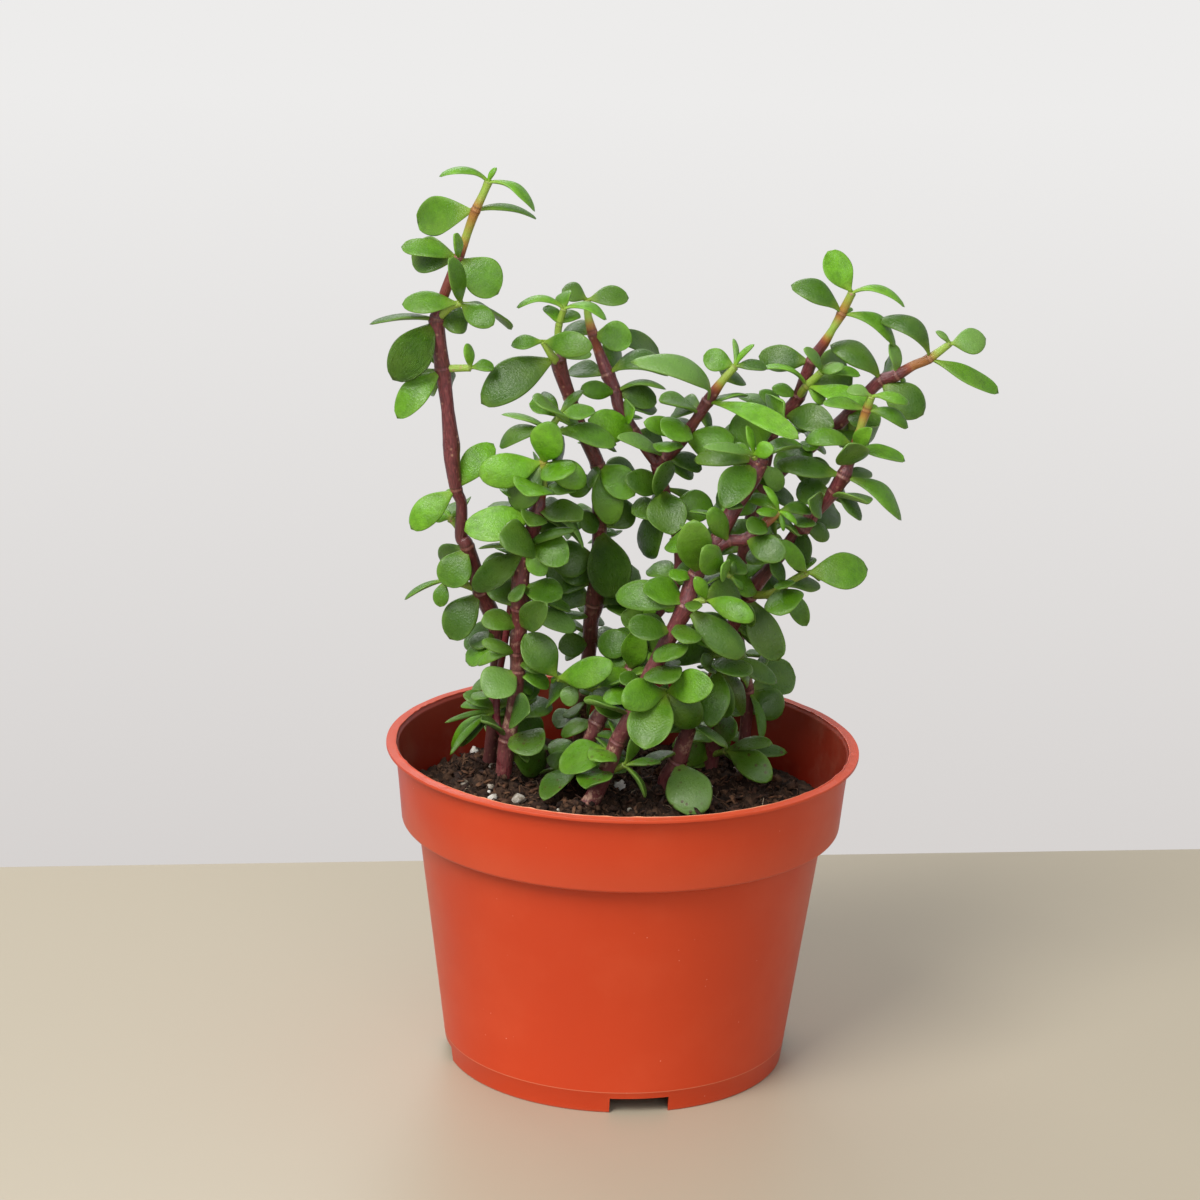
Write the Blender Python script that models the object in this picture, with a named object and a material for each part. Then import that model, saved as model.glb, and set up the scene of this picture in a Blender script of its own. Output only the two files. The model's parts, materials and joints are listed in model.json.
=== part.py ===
"""Potted elephant bush: eight leafy cuttings standing in soil in a round plastic nursery pot.

Metres, +Z up, with the origin on the ground under the middle of the pot, and the front towards -Y.
Sizes below are in millimetres and are scaled once, as each mesh is made.
"""

import math
import random

import bmesh
import bpy
from mathutils import Vector
from mathutils.bvhtree import BVHTree

MM = 0.001

# The pot, a thin moulded wall with a wide band at the top under a flat lip
POT_HEIGHT = 74.7
LIP_RADIUS = 54.0
LIP_WIDTH = 2.2
LIP_THICKNESS = 0.9
BAND_TOP_RADIUS = 52.0
BAND_FOOT_RADIUS = 50.2
BAND_FOOT_HEIGHT = 57.0
BAND_ROUNDING = 0.6
WALL_TOP_RADIUS = 46.6
FOOT_RADIUS = 39.05
WALL = 0.85
FLOOR_UNDERSIDE = 3.9
BOSS_RADIUS = 9.0
POT_SIDES = 48
SCRIBED_LINE_HEIGHT = 5.1

# The drainage notches in the foot and the holes in the floor
NOTCH_WIDTH = 13.4
NOTCH_HEIGHT = 3.6
NOTCH_COUNT = 4
FIRST_NOTCH_DEGREES = 8.6
NOTCH_FROM = 36.0
NOTCH_TO = 42.0
DRAIN_HOLE_RADIUS = 4.0
DRAIN_HOLE_CIRCLE = 27.0
DRAIN_HOLE_SIDES = 12
CUT_BEYOND = 1.0

# The soil
CLEARANCE = 0.35
SOIL_HEIGHT = 59.0
SOIL_SLOPE = -0.035
SOIL_BUMPS = 1.0
SOIL_RINGS = (8.0, 17.0, 26.0, 34.0, 41.0)
SOIL_SIDES = 32
SOIL_EDGE_LEAST = 58.8
SOIL_SEED = 4
SOIL_ROUGHNESS = 0.3
SOIL_EDGE_RINGS = 2
BURIED = 13.0
BURIED_INWARDS = 0.96
HOLE_ABOVE = 9.0

# The eye that the plant's points are read from: its place in front of the pot's axis
EYE_ACROSS = -6.1
EYE_FRONT = 791.2
EYE_UP = 333.4

# Stems
STEM_SIDES = 6
THIN_SHOOT = 2.1
THIN_SHOOT_SIDES = 5
SHORTEST_EDGE = 0.03

# Leaves
LEAF_THICKNESS = {"young": 1.5, "mid": 1.6, "dark": 1.7, "pale": 1.5, "wrinkled": 1.4}
LEAF_STALK = 0.9
LEAF_WIDEST_AT = 0.6
LEAF_FULL_AT = 0.4
LEAF_FREE_FROM = 0.3
LEAST_RISE = 0.35
LEAF_RINGS = (0.0, 0.3, 0.62, 0.9)
ARCH = {"strong": 0.3, "arched": 0.18}
PLAIN_ARCH = 0.07
TURN_DEGREES = {"face": 12.0, "half": 45.0, "edge": 78.0}
LEAN_BACK = 0.75
LEAN_FRONT = -0.7
FACE_LEAN_UP = 0.2
FACE_LEAN_DOWN = -0.25
LEAF_GAP = 0.45
ABOVE_SOIL = 1.2
ABOVE_LIP = 0.6
INSIDE_WALL = 1.5
SWINGS = (0, 2, -2, 4, -4, 6, -6, 8, -8, 10, -10, 12, -12, 15, -15)

# Further leaves that point away from or towards the eye, which fill the plant out in depth
DEPTH_LEAVES = 35
DEPTH_TRIES = 900
DEPTH_SEED = 21
DEPTH_LOWEST = 70.0
DEPTH_THINNEST = 1.5
DEPTH_BACK_SHARE = 0.8
DEPTH_LENGTHS = (9.5, 13.5)
DEPTH_WIDTHS = (0.58, 0.74)
DEPTH_HEADINGS = (25.0, 155.0)
DEPTH_RISES = (-0.25, 0.7)
DEPTH_LOOKS = ("face dark", "half dark", "face mid", "half mid", "face dark", "half arched dark")

POT_COLOUR = (0.53, 0.085, 0.035, 1.0)
SOIL_COLOUR = (0.045, 0.026, 0.016, 1.0)
LEAF_COLOUR = (0.17, 0.27, 0.035, 1.0)

# Each stem has shoots, as lists of (across, up, back, thickness), and leaves, listed under the point
# that they grow from, (across, up), as (tip across, tip up, width, words). Across and up are read on
# the upright plane through the pot's axis, as the eye sees them, and back is the real depth behind it.

FRONT_LEFT = {
    "shoots": [
        [
            (-27.4, 62.8, 10, 3.7), (-26.4, 74.2, 9, 4.1), (-25.5, 79, 9, 3.5), (-24.9, 84, 8, 3.4),
            (-24.4, 90.8, 8, 3.5), (-24.6, 97, 7, 3.6), (-24.1, 101.7, 6, 3.8), (-24, 105.8, 5, 4.4),
            (-24.2, 110.5, 4, 4.3), (-24, 115, 4, 4), (-22.9, 119.5, 3, 3.6), (-22, 122.7, 3, 3.3),
            (-20.9, 128, 2, 3.9), (-20.1, 131.8, 2, 2.5), (-19.5, 134.6, 1, 1.8), (-19.7, 139.8, 1, 2),
            (-18.3, 147, 0, 1.8), (-16.4, 150.6, 0, 1.4),
        ],
        [
            (-26.4, 74.2, 9, 1.8), (-28.6, 77.5, 11, 1.8), (-29.1, 81.2, 12, 1.8), (-28.8, 88, 13, 1.7),
            (-27.4, 97.8, 12, 1.6), (-26.2, 106.8, 11, 1.6),
        ],
    ],
    "leaves": {
        (-16.4, 150.6): [
            (-23.1, 153.2, 6, "half mid"), (-8.3, 152, 5.5, "half mid"),
            (-20, 156, 3, "half back dark"), (-11.3, 157, 3, "half back dark"),
        ],
        (-18.3, 147): [
            (-29, 151.2, 5, "edge pale"), (-29.6, 143.3, 5, "half arched dark"),
            (-3.5, 142.5, 4, "half back dark"), (-3.4, 144.4, 6, "half mid"),
        ],
        (-19.7, 139.8): [
            (-17.5, 148.4, 8.4, "face front young"), (-34, 136.8, 8, "face young"),
            (-10, 135.1, 6.5, "face young"), (-26.5, 129, 8.5, "face dark"),
        ],
        (-20.9, 128): [
            (-37, 123.8, 8.5, "face young"), (-9.6, 120.8, 4, "edge arched pale"),
            (-9.3, 122, 7, "half back dark"), (-14.5, 131, 5, "half back dark"),
        ],
        (-22.9, 119.5): [
            (-33.8, 119.8, 3, "edge mid"), (-35.1, 110, 6.5, "face wrinkled"),
            (-18.6, 113.5, 5, "face young"), (-12, 124.5, 3, "half arched dark"),
            (-28, 123, 3, "half dark"),
        ],
        (-24, 105.8): [(-11.3, 100.9, 6.5, "half pale")],
        (-24.4, 90.8): [(-31.5, 84.5, 9.3, "face front pale")],
        (-24.8, 95): [(-33.8, 92.6, 3.5, "half arched young"), (-32.3, 98, 4, "half mid")],
        (-26.4, 74.2): [(-16.8, 72.9, 3, "half arched pale"), (-21.6, 69, 3, "half mid")],
        (-26.2, 106.8): [(-26.8, 113.3, 3.3, "face young"), (-29.5, 108.5, 2.5, "half young")],
        (-29.1, 81.2): [
            (-39.9, 72.4, 4.5, "half arched young"), (-37.8, 72.8, 5, "half dark"),
            (-37.3, 82.8, 4, "half mid"), (-36.7, 85, 4.5, "half mid"),
            (-40.7, 78.4, 1.5, "half mid"), (-39.6, 70.7, 2, "half mid"),
        ],
    },
}

TALL_LEFT = {
    "shoots": [
        [
            (-30.8, 66.5, 22, 3.1), (-30, 73.8, 21, 3.1), (-29.3, 85, 19, 3.2), (-29.2, 98.4, 16, 3.3),
            (-30.6, 104.3, 14, 3.9), (-33, 109.5, 12, 4), (-36.3, 119.8, 8, 3.3), (-37.7, 122.3, 8, 3),
            (-37.8, 129.7, 6, 2.6), (-39, 133, 5, 2.8), (-40.1, 140, 4, 3.7), (-40.3, 143.4, 4, 4.1),
            (-41.2, 151, 3, 2.9), (-42.5, 160.6, 3, 3.6), (-43.3, 166, 2, 3.2), (-44, 171.6, 2, 3.6),
            (-43, 175, 2, 2.2), (-42.2, 178, 2, 2.4), (-39.4, 185.6, 2, 2.4), (-37.6, 191, 2, 1.9),
            (-35.8, 196.3, 1, 2.2), (-34.2, 200, 1, 1.8), (-33.1, 202.7, 1, 1.8),
        ],
        [(-44, 171.6, 2, 1.8), (-41, 174.6, 0, 1.8), (-38.3, 175.6, -1, 1.6)],
        [(-42.5, 160.6, 3, 1.8), (-36.3, 161, 2, 1.6)],
        [(-37.4, 122.5, 8, 1.6), (-39.2, 125.2, 9, 1.6), (-40.4, 126.2, 9, 1.6)],
        [(-33, 109.5, 12, 1.8), (-36.8, 111, 11, 1.8), (-41.3, 111.8, 10, 1.6)],
        [(-33, 109.5, 12, 1.8), (-30, 112, 12, 1.8), (-26.8, 113.8, 12, 1.6)],
    ],
    "leaves": {
        (-33.1, 202.7): [
            (-43.8, 204.4, 6, "edge arched young"), (-22.5, 196.9, 6, "edge arched young"),
            (-31.4, 205.9, 1.6, "half young"),
        ],
        (-35.8, 196.3): [(-48.4, 193.2, 8.8, "face back mid"), (-22.3, 196, 5, "edge back mid")],
        (-39.4, 185.6): [
            (-51.9, 188.4, 6, "half mid"), (-40.6, 191.2, 3.5, "half front young"),
            (-30.5, 177.8, 9, "face mid"),
        ],
        (-44, 171.6): [
            (-58.9, 170.9, 5, "edge dark"), (-37, 171.8, 8, "half front dark"),
            (-53.8, 158, 9.5, "face wrinkled"),
        ],
        (-38.8, 175.4): [
            (-51.7, 174.9, 6.5, "half mid"), (-40.8, 185.2, 6, "half front mid"),
            (-27.1, 170.4, 6, "edge back dark"), (-31.3, 170.7, 5.5, "face front mid"),
        ],
        (-42.5, 160.6): [
            (-52.6, 149.2, 6.8, "face mid"), (-47.5, 155.8, 7, "face back pale"),
            (-46.3, 164.4, 3.5, "half young"), (-40.2, 156.8, 4, "half back dark"),
        ],
        (-36.3, 161): [(-37.4, 166.5, 4, "half young"), (-31, 161, 4, "half mid")],
        (-39, 133): [
            (-31, 143.9, 6.5, "face young"), (-49.2, 123.8, 6.5, "face young"),
            (-35.3, 136.6, 3, "half young"), (-41.5, 130.5, 2.5, "half young"),
        ],
        (-40.4, 126.2): [
            (-37, 128, 2, "half arched mid"), (-42, 128.6, 2, "half young"), (-44, 126, 2.5, "half young"),
        ],
        (-36.3, 119.8): [(-41.2, 110.4, 8, "face mid"), (-42.3, 116, 7, "face back dark")],
        (-33, 109.5): [(-40, 98, 8, "face dark")],
        (-41.3, 111.8): [(-50.5, 107.3, 4, "edge mid"), (-42.3, 105.5, 3.8, "face mid")],
    },
}

CUT_MIDDLE = {
    "shoots": [
        [
            (-10, 70, 33, 3.6), (-9.3, 84, 30, 3.5), (-8.2, 96.6, 26, 3.4), (-8, 103.4, 23, 3.7),
            (-7.4, 107.3, 22, 4.4), (-6.8, 116, 19, 3.4), (-6.7, 125.3, 16, 3.4), (-7, 132, 14, 3.2),
            (-7.5, 139.6, 12, 3.4), (-11.5, 148, 10, 3.2), (-14.2, 155.1, 9, 3), (-16.1, 160.3, 8, 3.5),
            (-17, 163.8, 7, 3.8),
        ],
        [(-16.6, 162.2, 7, 2), (-18.3, 164.2, 5, 1.8), (-20.3, 167.4, 4, 1.5)],
        [(-16.6, 162.2, 7, 2), (-16.8, 165.5, 9, 1.8), (-17, 170.5, 9, 1.6), (-15.9, 174.9, 8, 1.5)],
    ],
    "leaves": {
        (-17, 163.8): [(-33.8, 153.1, 9.5, "face dark"), (-9.5, 165, 4, "half pale")],
        (-20.3, 167.4): [(-27.4, 166.3, 5, "half mid"), (-9.6, 166.5, 6, "face front mid")],
        (-15.9, 174.9): [
            (-26.2, 176.2, 6, "edge arched young"), (-6.3, 173.2, 6, "edge arched young"),
            (-15, 178.9, 5, "half back mid"),
        ],
        (-16.7, 171.5): [(-12.5, 174.1, 4, "half young"), (-20.3, 175.3, 4, "half young")],
        (-14.2, 155.1): [(-12.2, 154.2, 1.6, "half young")],
        (-7.5, 139.6): [
            (-9, 134.5, 4, "half dark"), (1, 132.9, 7.5, "face young"),
            (-3.5, 125.8, 7.3, "face mid"), (-9.4, 144.5, 1.6, "half young"),
        ],
        (-6.7, 125.3): [(-3, 108.5, 10.5, "face wrinkled")],
        (-7.4, 107.3): [(-19, 111, 9, "face dark")],
        (-6.8, 118): [(-17.5, 117, 9, "face dark")],
    },
}

TWIN_MIDDLE = {
    "shoots": [
        [
            (-13, 62.5, 10, 3.4), (-11.3, 67, 10, 3.3), (-9.7, 68.6, 9, 3.3), (-8, 73.5, 9, 3.3),
            (-6.1, 79, 9, 3.9), (-3.4, 84.3, 9, 3.7), (-0.2, 88.2, 9, 3.4), (1.2, 91.8, 9, 3),
            (3, 98, 10, 2.8), (5, 103, 11, 2.8), (8.3, 107.5, 12, 2.8), (11, 113, 13, 2.8),
            (11.8, 118, 14, 3), (10.8, 124, 13, 2.8), (8.8, 130, 12, 2.8), (7.3, 134.8, 12, 2.8),
            (5.9, 140.2, 11, 3.4),
        ],
        [(-1.8, 86.2, 9, 1.8), (-6.5, 86.9, 7, 1.6), (-10.5, 88.2, 5, 1.6), (-15.2, 89.4, 3, 1.5)],
        [
            (5.9, 140.2, 11, 2.6), (2.5, 144.5, 12, 2.4), (0.6, 147.6, 14, 2.4), (-3, 152.9, 15, 2.8),
            (-3.9, 156.3, 16, 2.8), (-5.7, 160.2, 17, 3.2), (-8.1, 166, 18, 2.3), (-9.3, 169.3, 18, 2.4),
            (-10.5, 173.5, 19, 1.8), (-10.8, 177, 19, 1.6),
        ],
        [
            (5.9, 140.2, 11, 3), (7.4, 141.8, 11, 3.4), (10.3, 144.8, 10, 3), (11.8, 147, 10, 3),
            (14.2, 150.7, 9, 2.4), (16.6, 154.8, 9, 2.9), (19.7, 159.6, 8, 1.9), (22.4, 163, 8, 1.8),
        ],
    ],
    "leaves": {
        (-9.7, 68.6): [
            (-16.5, 74.4, 6, "face back mid"), (-17.8, 60, 7, "half front dark"),
            (-4, 65, 6.8, "face front pale"),
        ],
        (-6.1, 79): [(-14.5, 76.5, 5, "half dark")],
        (1.2, 91.8): [
            (-7, 88.5, 5.5, "face front young"), (2.9, 101.9, 6.3, "face front young"),
            (-8.5, 80.8, 3.5, "edge arched dark"),
        ],
        (4.6, 102): [
            (-6, 97, 5, "half back mid"), (-4.5, 106.5, 5, "half back dark"),
            (6.3, 108, 4, "half young"), (7.5, 97, 3.2, "half young"),
        ],
        (7.3, 134.8): [
            (-1, 136.2, 6.5, "face front dark"), (9.7, 123.8, 9.5, "face front dark"),
            (18.3, 129.8, 3.5, "half back dark"),
        ],
        (8.8, 130): [(3, 119, 9, "half back dark")],
        (-15.2, 89.4): [
            (-22.8, 99.6, 8.5, "face dark"), (-2.8, 92.8, 7.5, "face front young"),
            (-16.5, 88.4, 1.6, "half young"), (-16.3, 90.8, 1.4, "half young"),
        ],
        (-10.5, 88.2): [(-13.3, 83, 4.5, "face pale")],
        (-10.8, 177): [(-16.3, 179.5, 6, "half dark"), (-1.7, 178.3, 6, "half dark")],
        (-9.3, 169.3): [
            (-0.6, 168.1, 7, "face mid"), (6.2, 165.8, 6, "half back dark"),
            (-15.7, 170.7, 6, "half back dark"),
        ],
        (-5.7, 160.2): [(-14.7, 160.7, 6, "half back dark"), (8, 162, 7, "half strong dark")],
        (-3.9, 156.3): [
            (-11.4, 156.9, 4.5, "face front mid"), (7.3, 157.3, 5, "edge arched mid"),
            (5.2, 154.2, 6, "face dark"),
        ],
        (0.6, 147.6): [(-9.2, 150, 7.5, "face front young"), (6.3, 143.8, 6, "half back dark")],
        (22.4, 163): [
            (15.3, 165.3, 5.5, "face mid"), (29.5, 162.6, 4, "half dark"),
            (22, 169.4, 1.8, "half pale"), (26.5, 168.1, 1.8, "half young"),
        ],
        (16.6, 154.8): [(0, 163.8, 7, "half strong front pale"), (37.3, 146.2, 6, "half front young")],
        (11.8, 147): [(2.6, 149.7, 4.5, "face front mid"), (17.5, 143.3, 5, "half dark")],
        (7.4, 141.8): [(-3.3, 146, 5, "half front pale"), (16, 139.5, 6, "half dark")],
    },
}

FRONT_DIAGONAL = {
    "shoots": [
        [
            (-8.7, 57.5, -4, 3.9), (-5.8, 62.2, -4, 3.9), (-2.8, 69.6, -5, 3.7), (-1.2, 74.5, -5, 3.8),
            (1.8, 80.7, -6, 3.9), (4.4, 87.5, -6, 3.7), (6.9, 93.5, -6, 3.7), (11.1, 102.4, -6, 3.6),
            (13.2, 107.1, -6, 4.4), (14.8, 113.4, -5, 3.7), (18.3, 120.1, -5, 3.5), (20.8, 125, -4, 3.5),
            (24, 131.5, -3, 3.6), (27.2, 137.9, -1, 4.2), (28.2, 141, 0, 4.6), (29, 142.7, 0, 4.2),
        ],
        [
            (18.3, 120.1, -5, 3), (22.3, 122.8, -5, 2.6), (26.1, 123.4, -5, 2.6), (29.5, 126.3, -5, 2.4),
            (33.3, 129.9, -4, 2),
        ],
        [(13.2, 107.1, -6, 1.8), (15, 108.2, -7, 1.5), (17.8, 109, -7, 1.5)],
        [(17, 117.6, -5, 1.6), (20.4, 116.4, -7, 1.4), (23.2, 114.6, -8, 1.2)],
        [(4.4, 87.5, -6, 1.8), (9.6, 86.8, -9, 1.6)],
        [(-3.4, 67, -4, 1.6), (0.5, 69, -6, 1.4)],
        [(28.4, 141.2, 0, 1.8), (27.3, 142.9, -2, 1.6)],
    ],
    "leaves": {
        (28.2, 141): [
            (14, 141.5, 6.5, "half arched dark"), (21.2, 130.8, 8, "face front dark"),
            (33.7, 135, 4.5, "face pale"),
        ],
        (27.3, 142.9): [
            (16.5, 144.8, 3.5, "half front pale"), (25.5, 149.6, 3, "half young"),
            (31.8, 144.7, 4, "face front young"),
        ],
        (15.6, 115): [(14.5, 127.3, 8, "face front mid")],
        (22.3, 122.8): [(17.8, 130.2, 5, "face front mid"), (28, 127.8, 6, "face back mid")],
        (26.1, 123.4): [(35.3, 119.5, 6.5, "face front dark")],
        (33.3, 129.9): [
            (29.8, 136, 2.5, "half arched young"), (25.4, 134, 4, "half back mid"),
            (28.7, 129.5, 3.5, "half front mid"), (41.2, 131, 4, "half back dark"),
            (37.8, 127.5, 1.8, "half arched young"), (34.8, 125.5, 1.6, "half mid"),
            (32.5, 124.3, 2, "half dark"),
        ],
        (17.8, 109): [(15.4, 114, 3.3, "face front young"), (28.6, 104.8, 5.5, "face front young")],
        (13.2, 107.1): [
            (27.3, 95.9, 7.5, "face dark"), (23.8, 97.6, 3.5, "edge pale"),
            (-2.8, 109.6, 7.5, "face mid"), (8.5, 109, 2.5, "half dark"),
        ],
        (23.2, 114.6): [(26, 111.6, 1.8, "half mid"), (24, 118, 2, "half dark")],
        (9.6, 86.8): [
            (-0.4, 84.2, 7.8, "face front young"), (20.3, 88.8, 8, "face front young"),
            (5, 72.5, 10.5, "face front mid"), (17.5, 79, 8, "face back dark"),
        ],
        (0.5, 69): [
            (6, 61.4, 3, "edge mid"), (3, 77, 3.5, "half mid"), (9, 70, 3, "half dark"),
        ],
        (-1.2, 74.5): [(-5.9, 76.6, 2.5, "half back dark"), (-3.1, 79.9, 2.5, "half back young")],
    },
}

RIGHT = {
    "shoots": [
        [
            (20, 68, 27, 3.9), (20.3, 72, 26, 3.9), (20.8, 78, 24, 3.8), (21.5, 88, 20, 3.3),
            (22.8, 99, 16, 2.8), (27.5, 110.4, 12, 4), (31.6, 116.3, 10, 2.9), (36, 122.5, 8, 3.2),
            (39, 126.5, 7, 3.9), (42, 130.4, 6, 2.7), (44.5, 133.2, 5, 2.7), (47.5, 138.5, 4, 3.6),
            (48.6, 141.5, 4, 2.6), (49.8, 145, 3, 2.6), (51, 150, 2, 1.9), (52, 153.8, 2, 2.2),
            (53, 157, 1, 1.6),
        ],
        [
            (27.5, 110.4, 12, 2), (31.5, 110.6, 8, 1.9), (34.6, 112, 6, 1.9), (37, 114, 5, 1.6),
            (40.3, 116, 4, 1.8),
        ],
        [(20.3, 72, 26, 1.6), (23.6, 73.2, 20, 1.4)],
    ],
    "leaves": {
        (53, 157): [(61.5, 155.8, 4, "half arched young"), (47.5, 158.5, 3.5, "half pale")],
        (52, 153.8): [(61.7, 150.5, 4.2, "half arched mid"), (42.2, 155, 4.5, "half mid")],
        (49.8, 145): [
            (61.3, 142.7, 5, "half mid"), (53.5, 149.8, 4, "face front young"),
            (38.8, 147.3, 5.5, "half arched mid"),
        ],
        (47.5, 138.5): [
            (32.7, 141.8, 7, "half dark"), (61, 128.7, 6.5, "half arched mid"),
            (54, 139.5, 4, "half back dark"),
        ],
        (45.5, 135): [(52.2, 128.6, 5, "half dark")],
        (39, 126.5): [(45.3, 124.5, 4.5, "face dark"), (39.8, 118, 4.5, "face wrinkled")],
        (27.5, 110.4): [(34.7, 95, 8, "face dark")],
        (35.5, 112.4): [
            (41, 103.5, 4.5, "face mid"), (43.5, 113, 5, "half back dark"), (32, 118.5, 4.5, "half mid"),
        ],
        (40.3, 116): [
            (54.3, 117.5, 9, "face mid"), (34.8, 123, 4.2, "face front young"),
            (43.4, 114.2, 1.8, "half young"),
        ],
        (23.6, 73.2): [
            (23.8, 78.2, 1.8, "half mid"), (27.4, 74, 1.6, "half mid"), (34, 75.6, 4, "half mid"),
            (37.7, 73.1, 4.5, "half dark"), (34.4, 66.5, 7, "face front mid"),
        ],
    },
}

BACK_RIGHT = {
    "shoots": [
        [
            (27.5, 68.8, 29.5, 3), (28, 80, 29, 2.8), (28.3, 87.5, 28, 2.8), (25.8, 98, 26, 2.8),
            (25.2, 109, 24, 3), (26, 120.5, 22, 3), (28.5, 133.5, 21, 3.2), (30, 141, 20, 2.8),
            (31.3, 147.8, 19, 2.8), (33.5, 152.3, 18, 2.8), (36.8, 156.5, 17, 3), (39.3, 164.5, 16, 2.8),
            (41.9, 168.8, 15, 2.4), (43.7, 172, 14, 1.7), (45.5, 175.5, 14, 2.2), (47.6, 180.3, 13, 1.8),
        ],
        [
            (28.5, 133.5, 21, 2.8), (34, 139.5, 21, 2.6), (40, 145, 20, 2.8), (46.3, 151, 19, 3),
            (51, 156.5, 18, 2.8), (54.8, 160.6, 17, 2.8), (58.3, 162, 16, 2.7), (61.9, 164.3, 15, 2.2),
            (65.4, 166, 14, 2.2), (69.8, 169.5, 13, 1.4),
        ],
        [(36.8, 156.5, 17, 2), (38.5, 159, 14, 1.9), (41.6, 162.2, 12, 1.6)],
    ],
    "leaves": {
        (47.6, 180.3): [(41.8, 189.4, 7, "face young"), (59.6, 178.6, 6, "edge arched young")],
        (45.5, 175.5): [
            (34.1, 181.7, 6.5, "half arched dark"), (58.4, 169.2, 5, "half arched mid"),
            (47.9, 176.8, 1.6, "half young"),
        ],
        (39.3, 164.5): [(27.5, 165.5, 6.5, "face dark")],
        (36.8, 156.5): [(30.8, 158.5, 4, "half young")],
        (41.6, 162.2): [
            (37.5, 167.4, 3.5, "half front pale"), (46.3, 163.9, 3.5, "half front pale"),
            (50.3, 161.5, 3.5, "half mid"),
        ],
        (38.5, 159): [
            (27.5, 163.2, 5.5, "edge arched young"), (53.4, 155, 5.5, "half front young"),
            (43, 155.5, 4, "half front young"),
        ],
        (33.5, 152.3): [
            (28.3, 157.8, 4.5, "half mid"), (45, 149.8, 7, "face front dark"),
            (23.4, 157, 4, "half back mid"),
        ],
        (31.3, 147.8): [(19.8, 147.6, 5, "half arched dark"), (26, 146, 5, "half back dark")],
        (28.3, 87.5): [(32, 76.5, 3, "half mid"), (36.2, 82.4, 8, "face dark")],
        (69.8, 169.5): [(66.6, 172.3, 2, "half pale"), (77.8, 171, 6.5, "face pale")],
        (65.4, 166): [(54.2, 174.8, 6, "half strong dark"), (81.4, 158.9, 5, "half mid")],
        (58.3, 162): [(56.5, 169.2, 4, "half pale"), (60.6, 160.2, 1.6, "half young")],
        (54.8, 160.6): [(43.8, 168.9, 7.5, "half arched dark"), (64.8, 153.3, 8.5, "face dark")],
    },
}

FRONT_RIGHT = {
    "shoots": [
        [
            (10, 62.3, 9, 4.2), (10.5, 66.2, 9, 4.2), (12.7, 70.2, 8, 4.2), (14.7, 77.2, 7, 3.6),
            (17, 84, 6, 2.8), (19.5, 90, 5, 2.2), (20.8, 93.5, 5, 2), (22, 95.6, 4, 1.8),
        ],
    ],
    "leaves": {
        (12.7, 70.2): [(18.5, 58.5, 10.8, "face front pale"), (15.2, 70.8, 1.6, "half young")],
        (22, 95.6): [
            (14.8, 100.1, 3.3, "half young"), (28.4, 88.7, 4.5, "half arched young"),
            (10, 95.8, 6.5, "face back dark"), (34.9, 90.1, 5.5, "half dark"),
        ],
        (20.8, 93.5): [
            (20, 78.6, 7, "face front mid"), (23.5, 81, 6, "face dark"), (27, 82, 5, "half back dark"),
        ],
    },
}

STEMS = {
    "stem_front_left": FRONT_LEFT,
    "stem_tall_left": TALL_LEFT,
    "stem_cut_middle": CUT_MIDDLE,
    "stem_twin_middle": TWIN_MIDDLE,
    "stem_front_diagonal": FRONT_DIAGONAL,
    "stem_right": RIGHT,
    "stem_back_right": BACK_RIGHT,
    "stem_front_right": FRONT_RIGHT,
}


def placed(across, up, back):
    """The point at this depth that the eye sees at across and up on the plane through the pot's axis."""
    spread = (back + EYE_FRONT) / EYE_FRONT
    x = EYE_ACROSS + (across - EYE_ACROSS) * spread
    z = EYE_UP + (up - EYE_UP) * spread
    return Vector((x, back, z))


def towards_eye(point):
    return (Vector((EYE_ACROSS, -EYE_FRONT, EYE_UP)) - point).normalized()


def mesh_object(name, points, faces, material=None):
    mesh = bpy.data.meshes.new(name)
    mesh.from_pydata([point * MM for point in points], [], faces)
    solid = bmesh.new()
    solid.from_mesh(mesh)
    bmesh.ops.recalc_face_normals(solid, faces=solid.faces)
    solid.to_mesh(mesh)
    solid.free()
    made = bpy.data.objects.new(name, mesh)
    bpy.context.scene.collection.objects.link(made)
    if material:
        mesh.materials.append(material)
    return made


def plain_material(name, colour, roughness):
    material = bpy.data.materials.new(name)
    material.use_nodes = True
    shader = material.node_tree.nodes["Principled BSDF"]
    shader.inputs["Base Color"].default_value = colour
    shader.inputs["Roughness"].default_value = roughness
    return material


def cut(target, cutters):
    """Takes every cutter out of the target, and removes the cutters."""
    group = bpy.data.collections.new("cutters")
    bpy.context.scene.collection.children.link(group)
    for cutter in cutters:
        group.objects.link(cutter)
        bpy.context.scene.collection.objects.unlink(cutter)
    apply_boolean(target, group, "DIFFERENCE")


def apply_boolean(target, group, operation):
    boolean = target.modifiers.new(operation.lower(), "BOOLEAN")
    boolean.operand_type = "COLLECTION"
    boolean.collection = group
    boolean.operation = operation
    boolean.solver = "EXACT"
    graph = bpy.context.evaluated_depsgraph_get()
    result = bpy.data.meshes.new_from_object(target.evaluated_get(graph))
    target.modifiers.clear()
    old = target.data
    target.data = result
    result.name = target.name
    bpy.data.meshes.remove(old)
    for part in list(group.objects):
        bpy.data.objects.remove(part)
    bpy.data.collections.remove(group)


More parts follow.
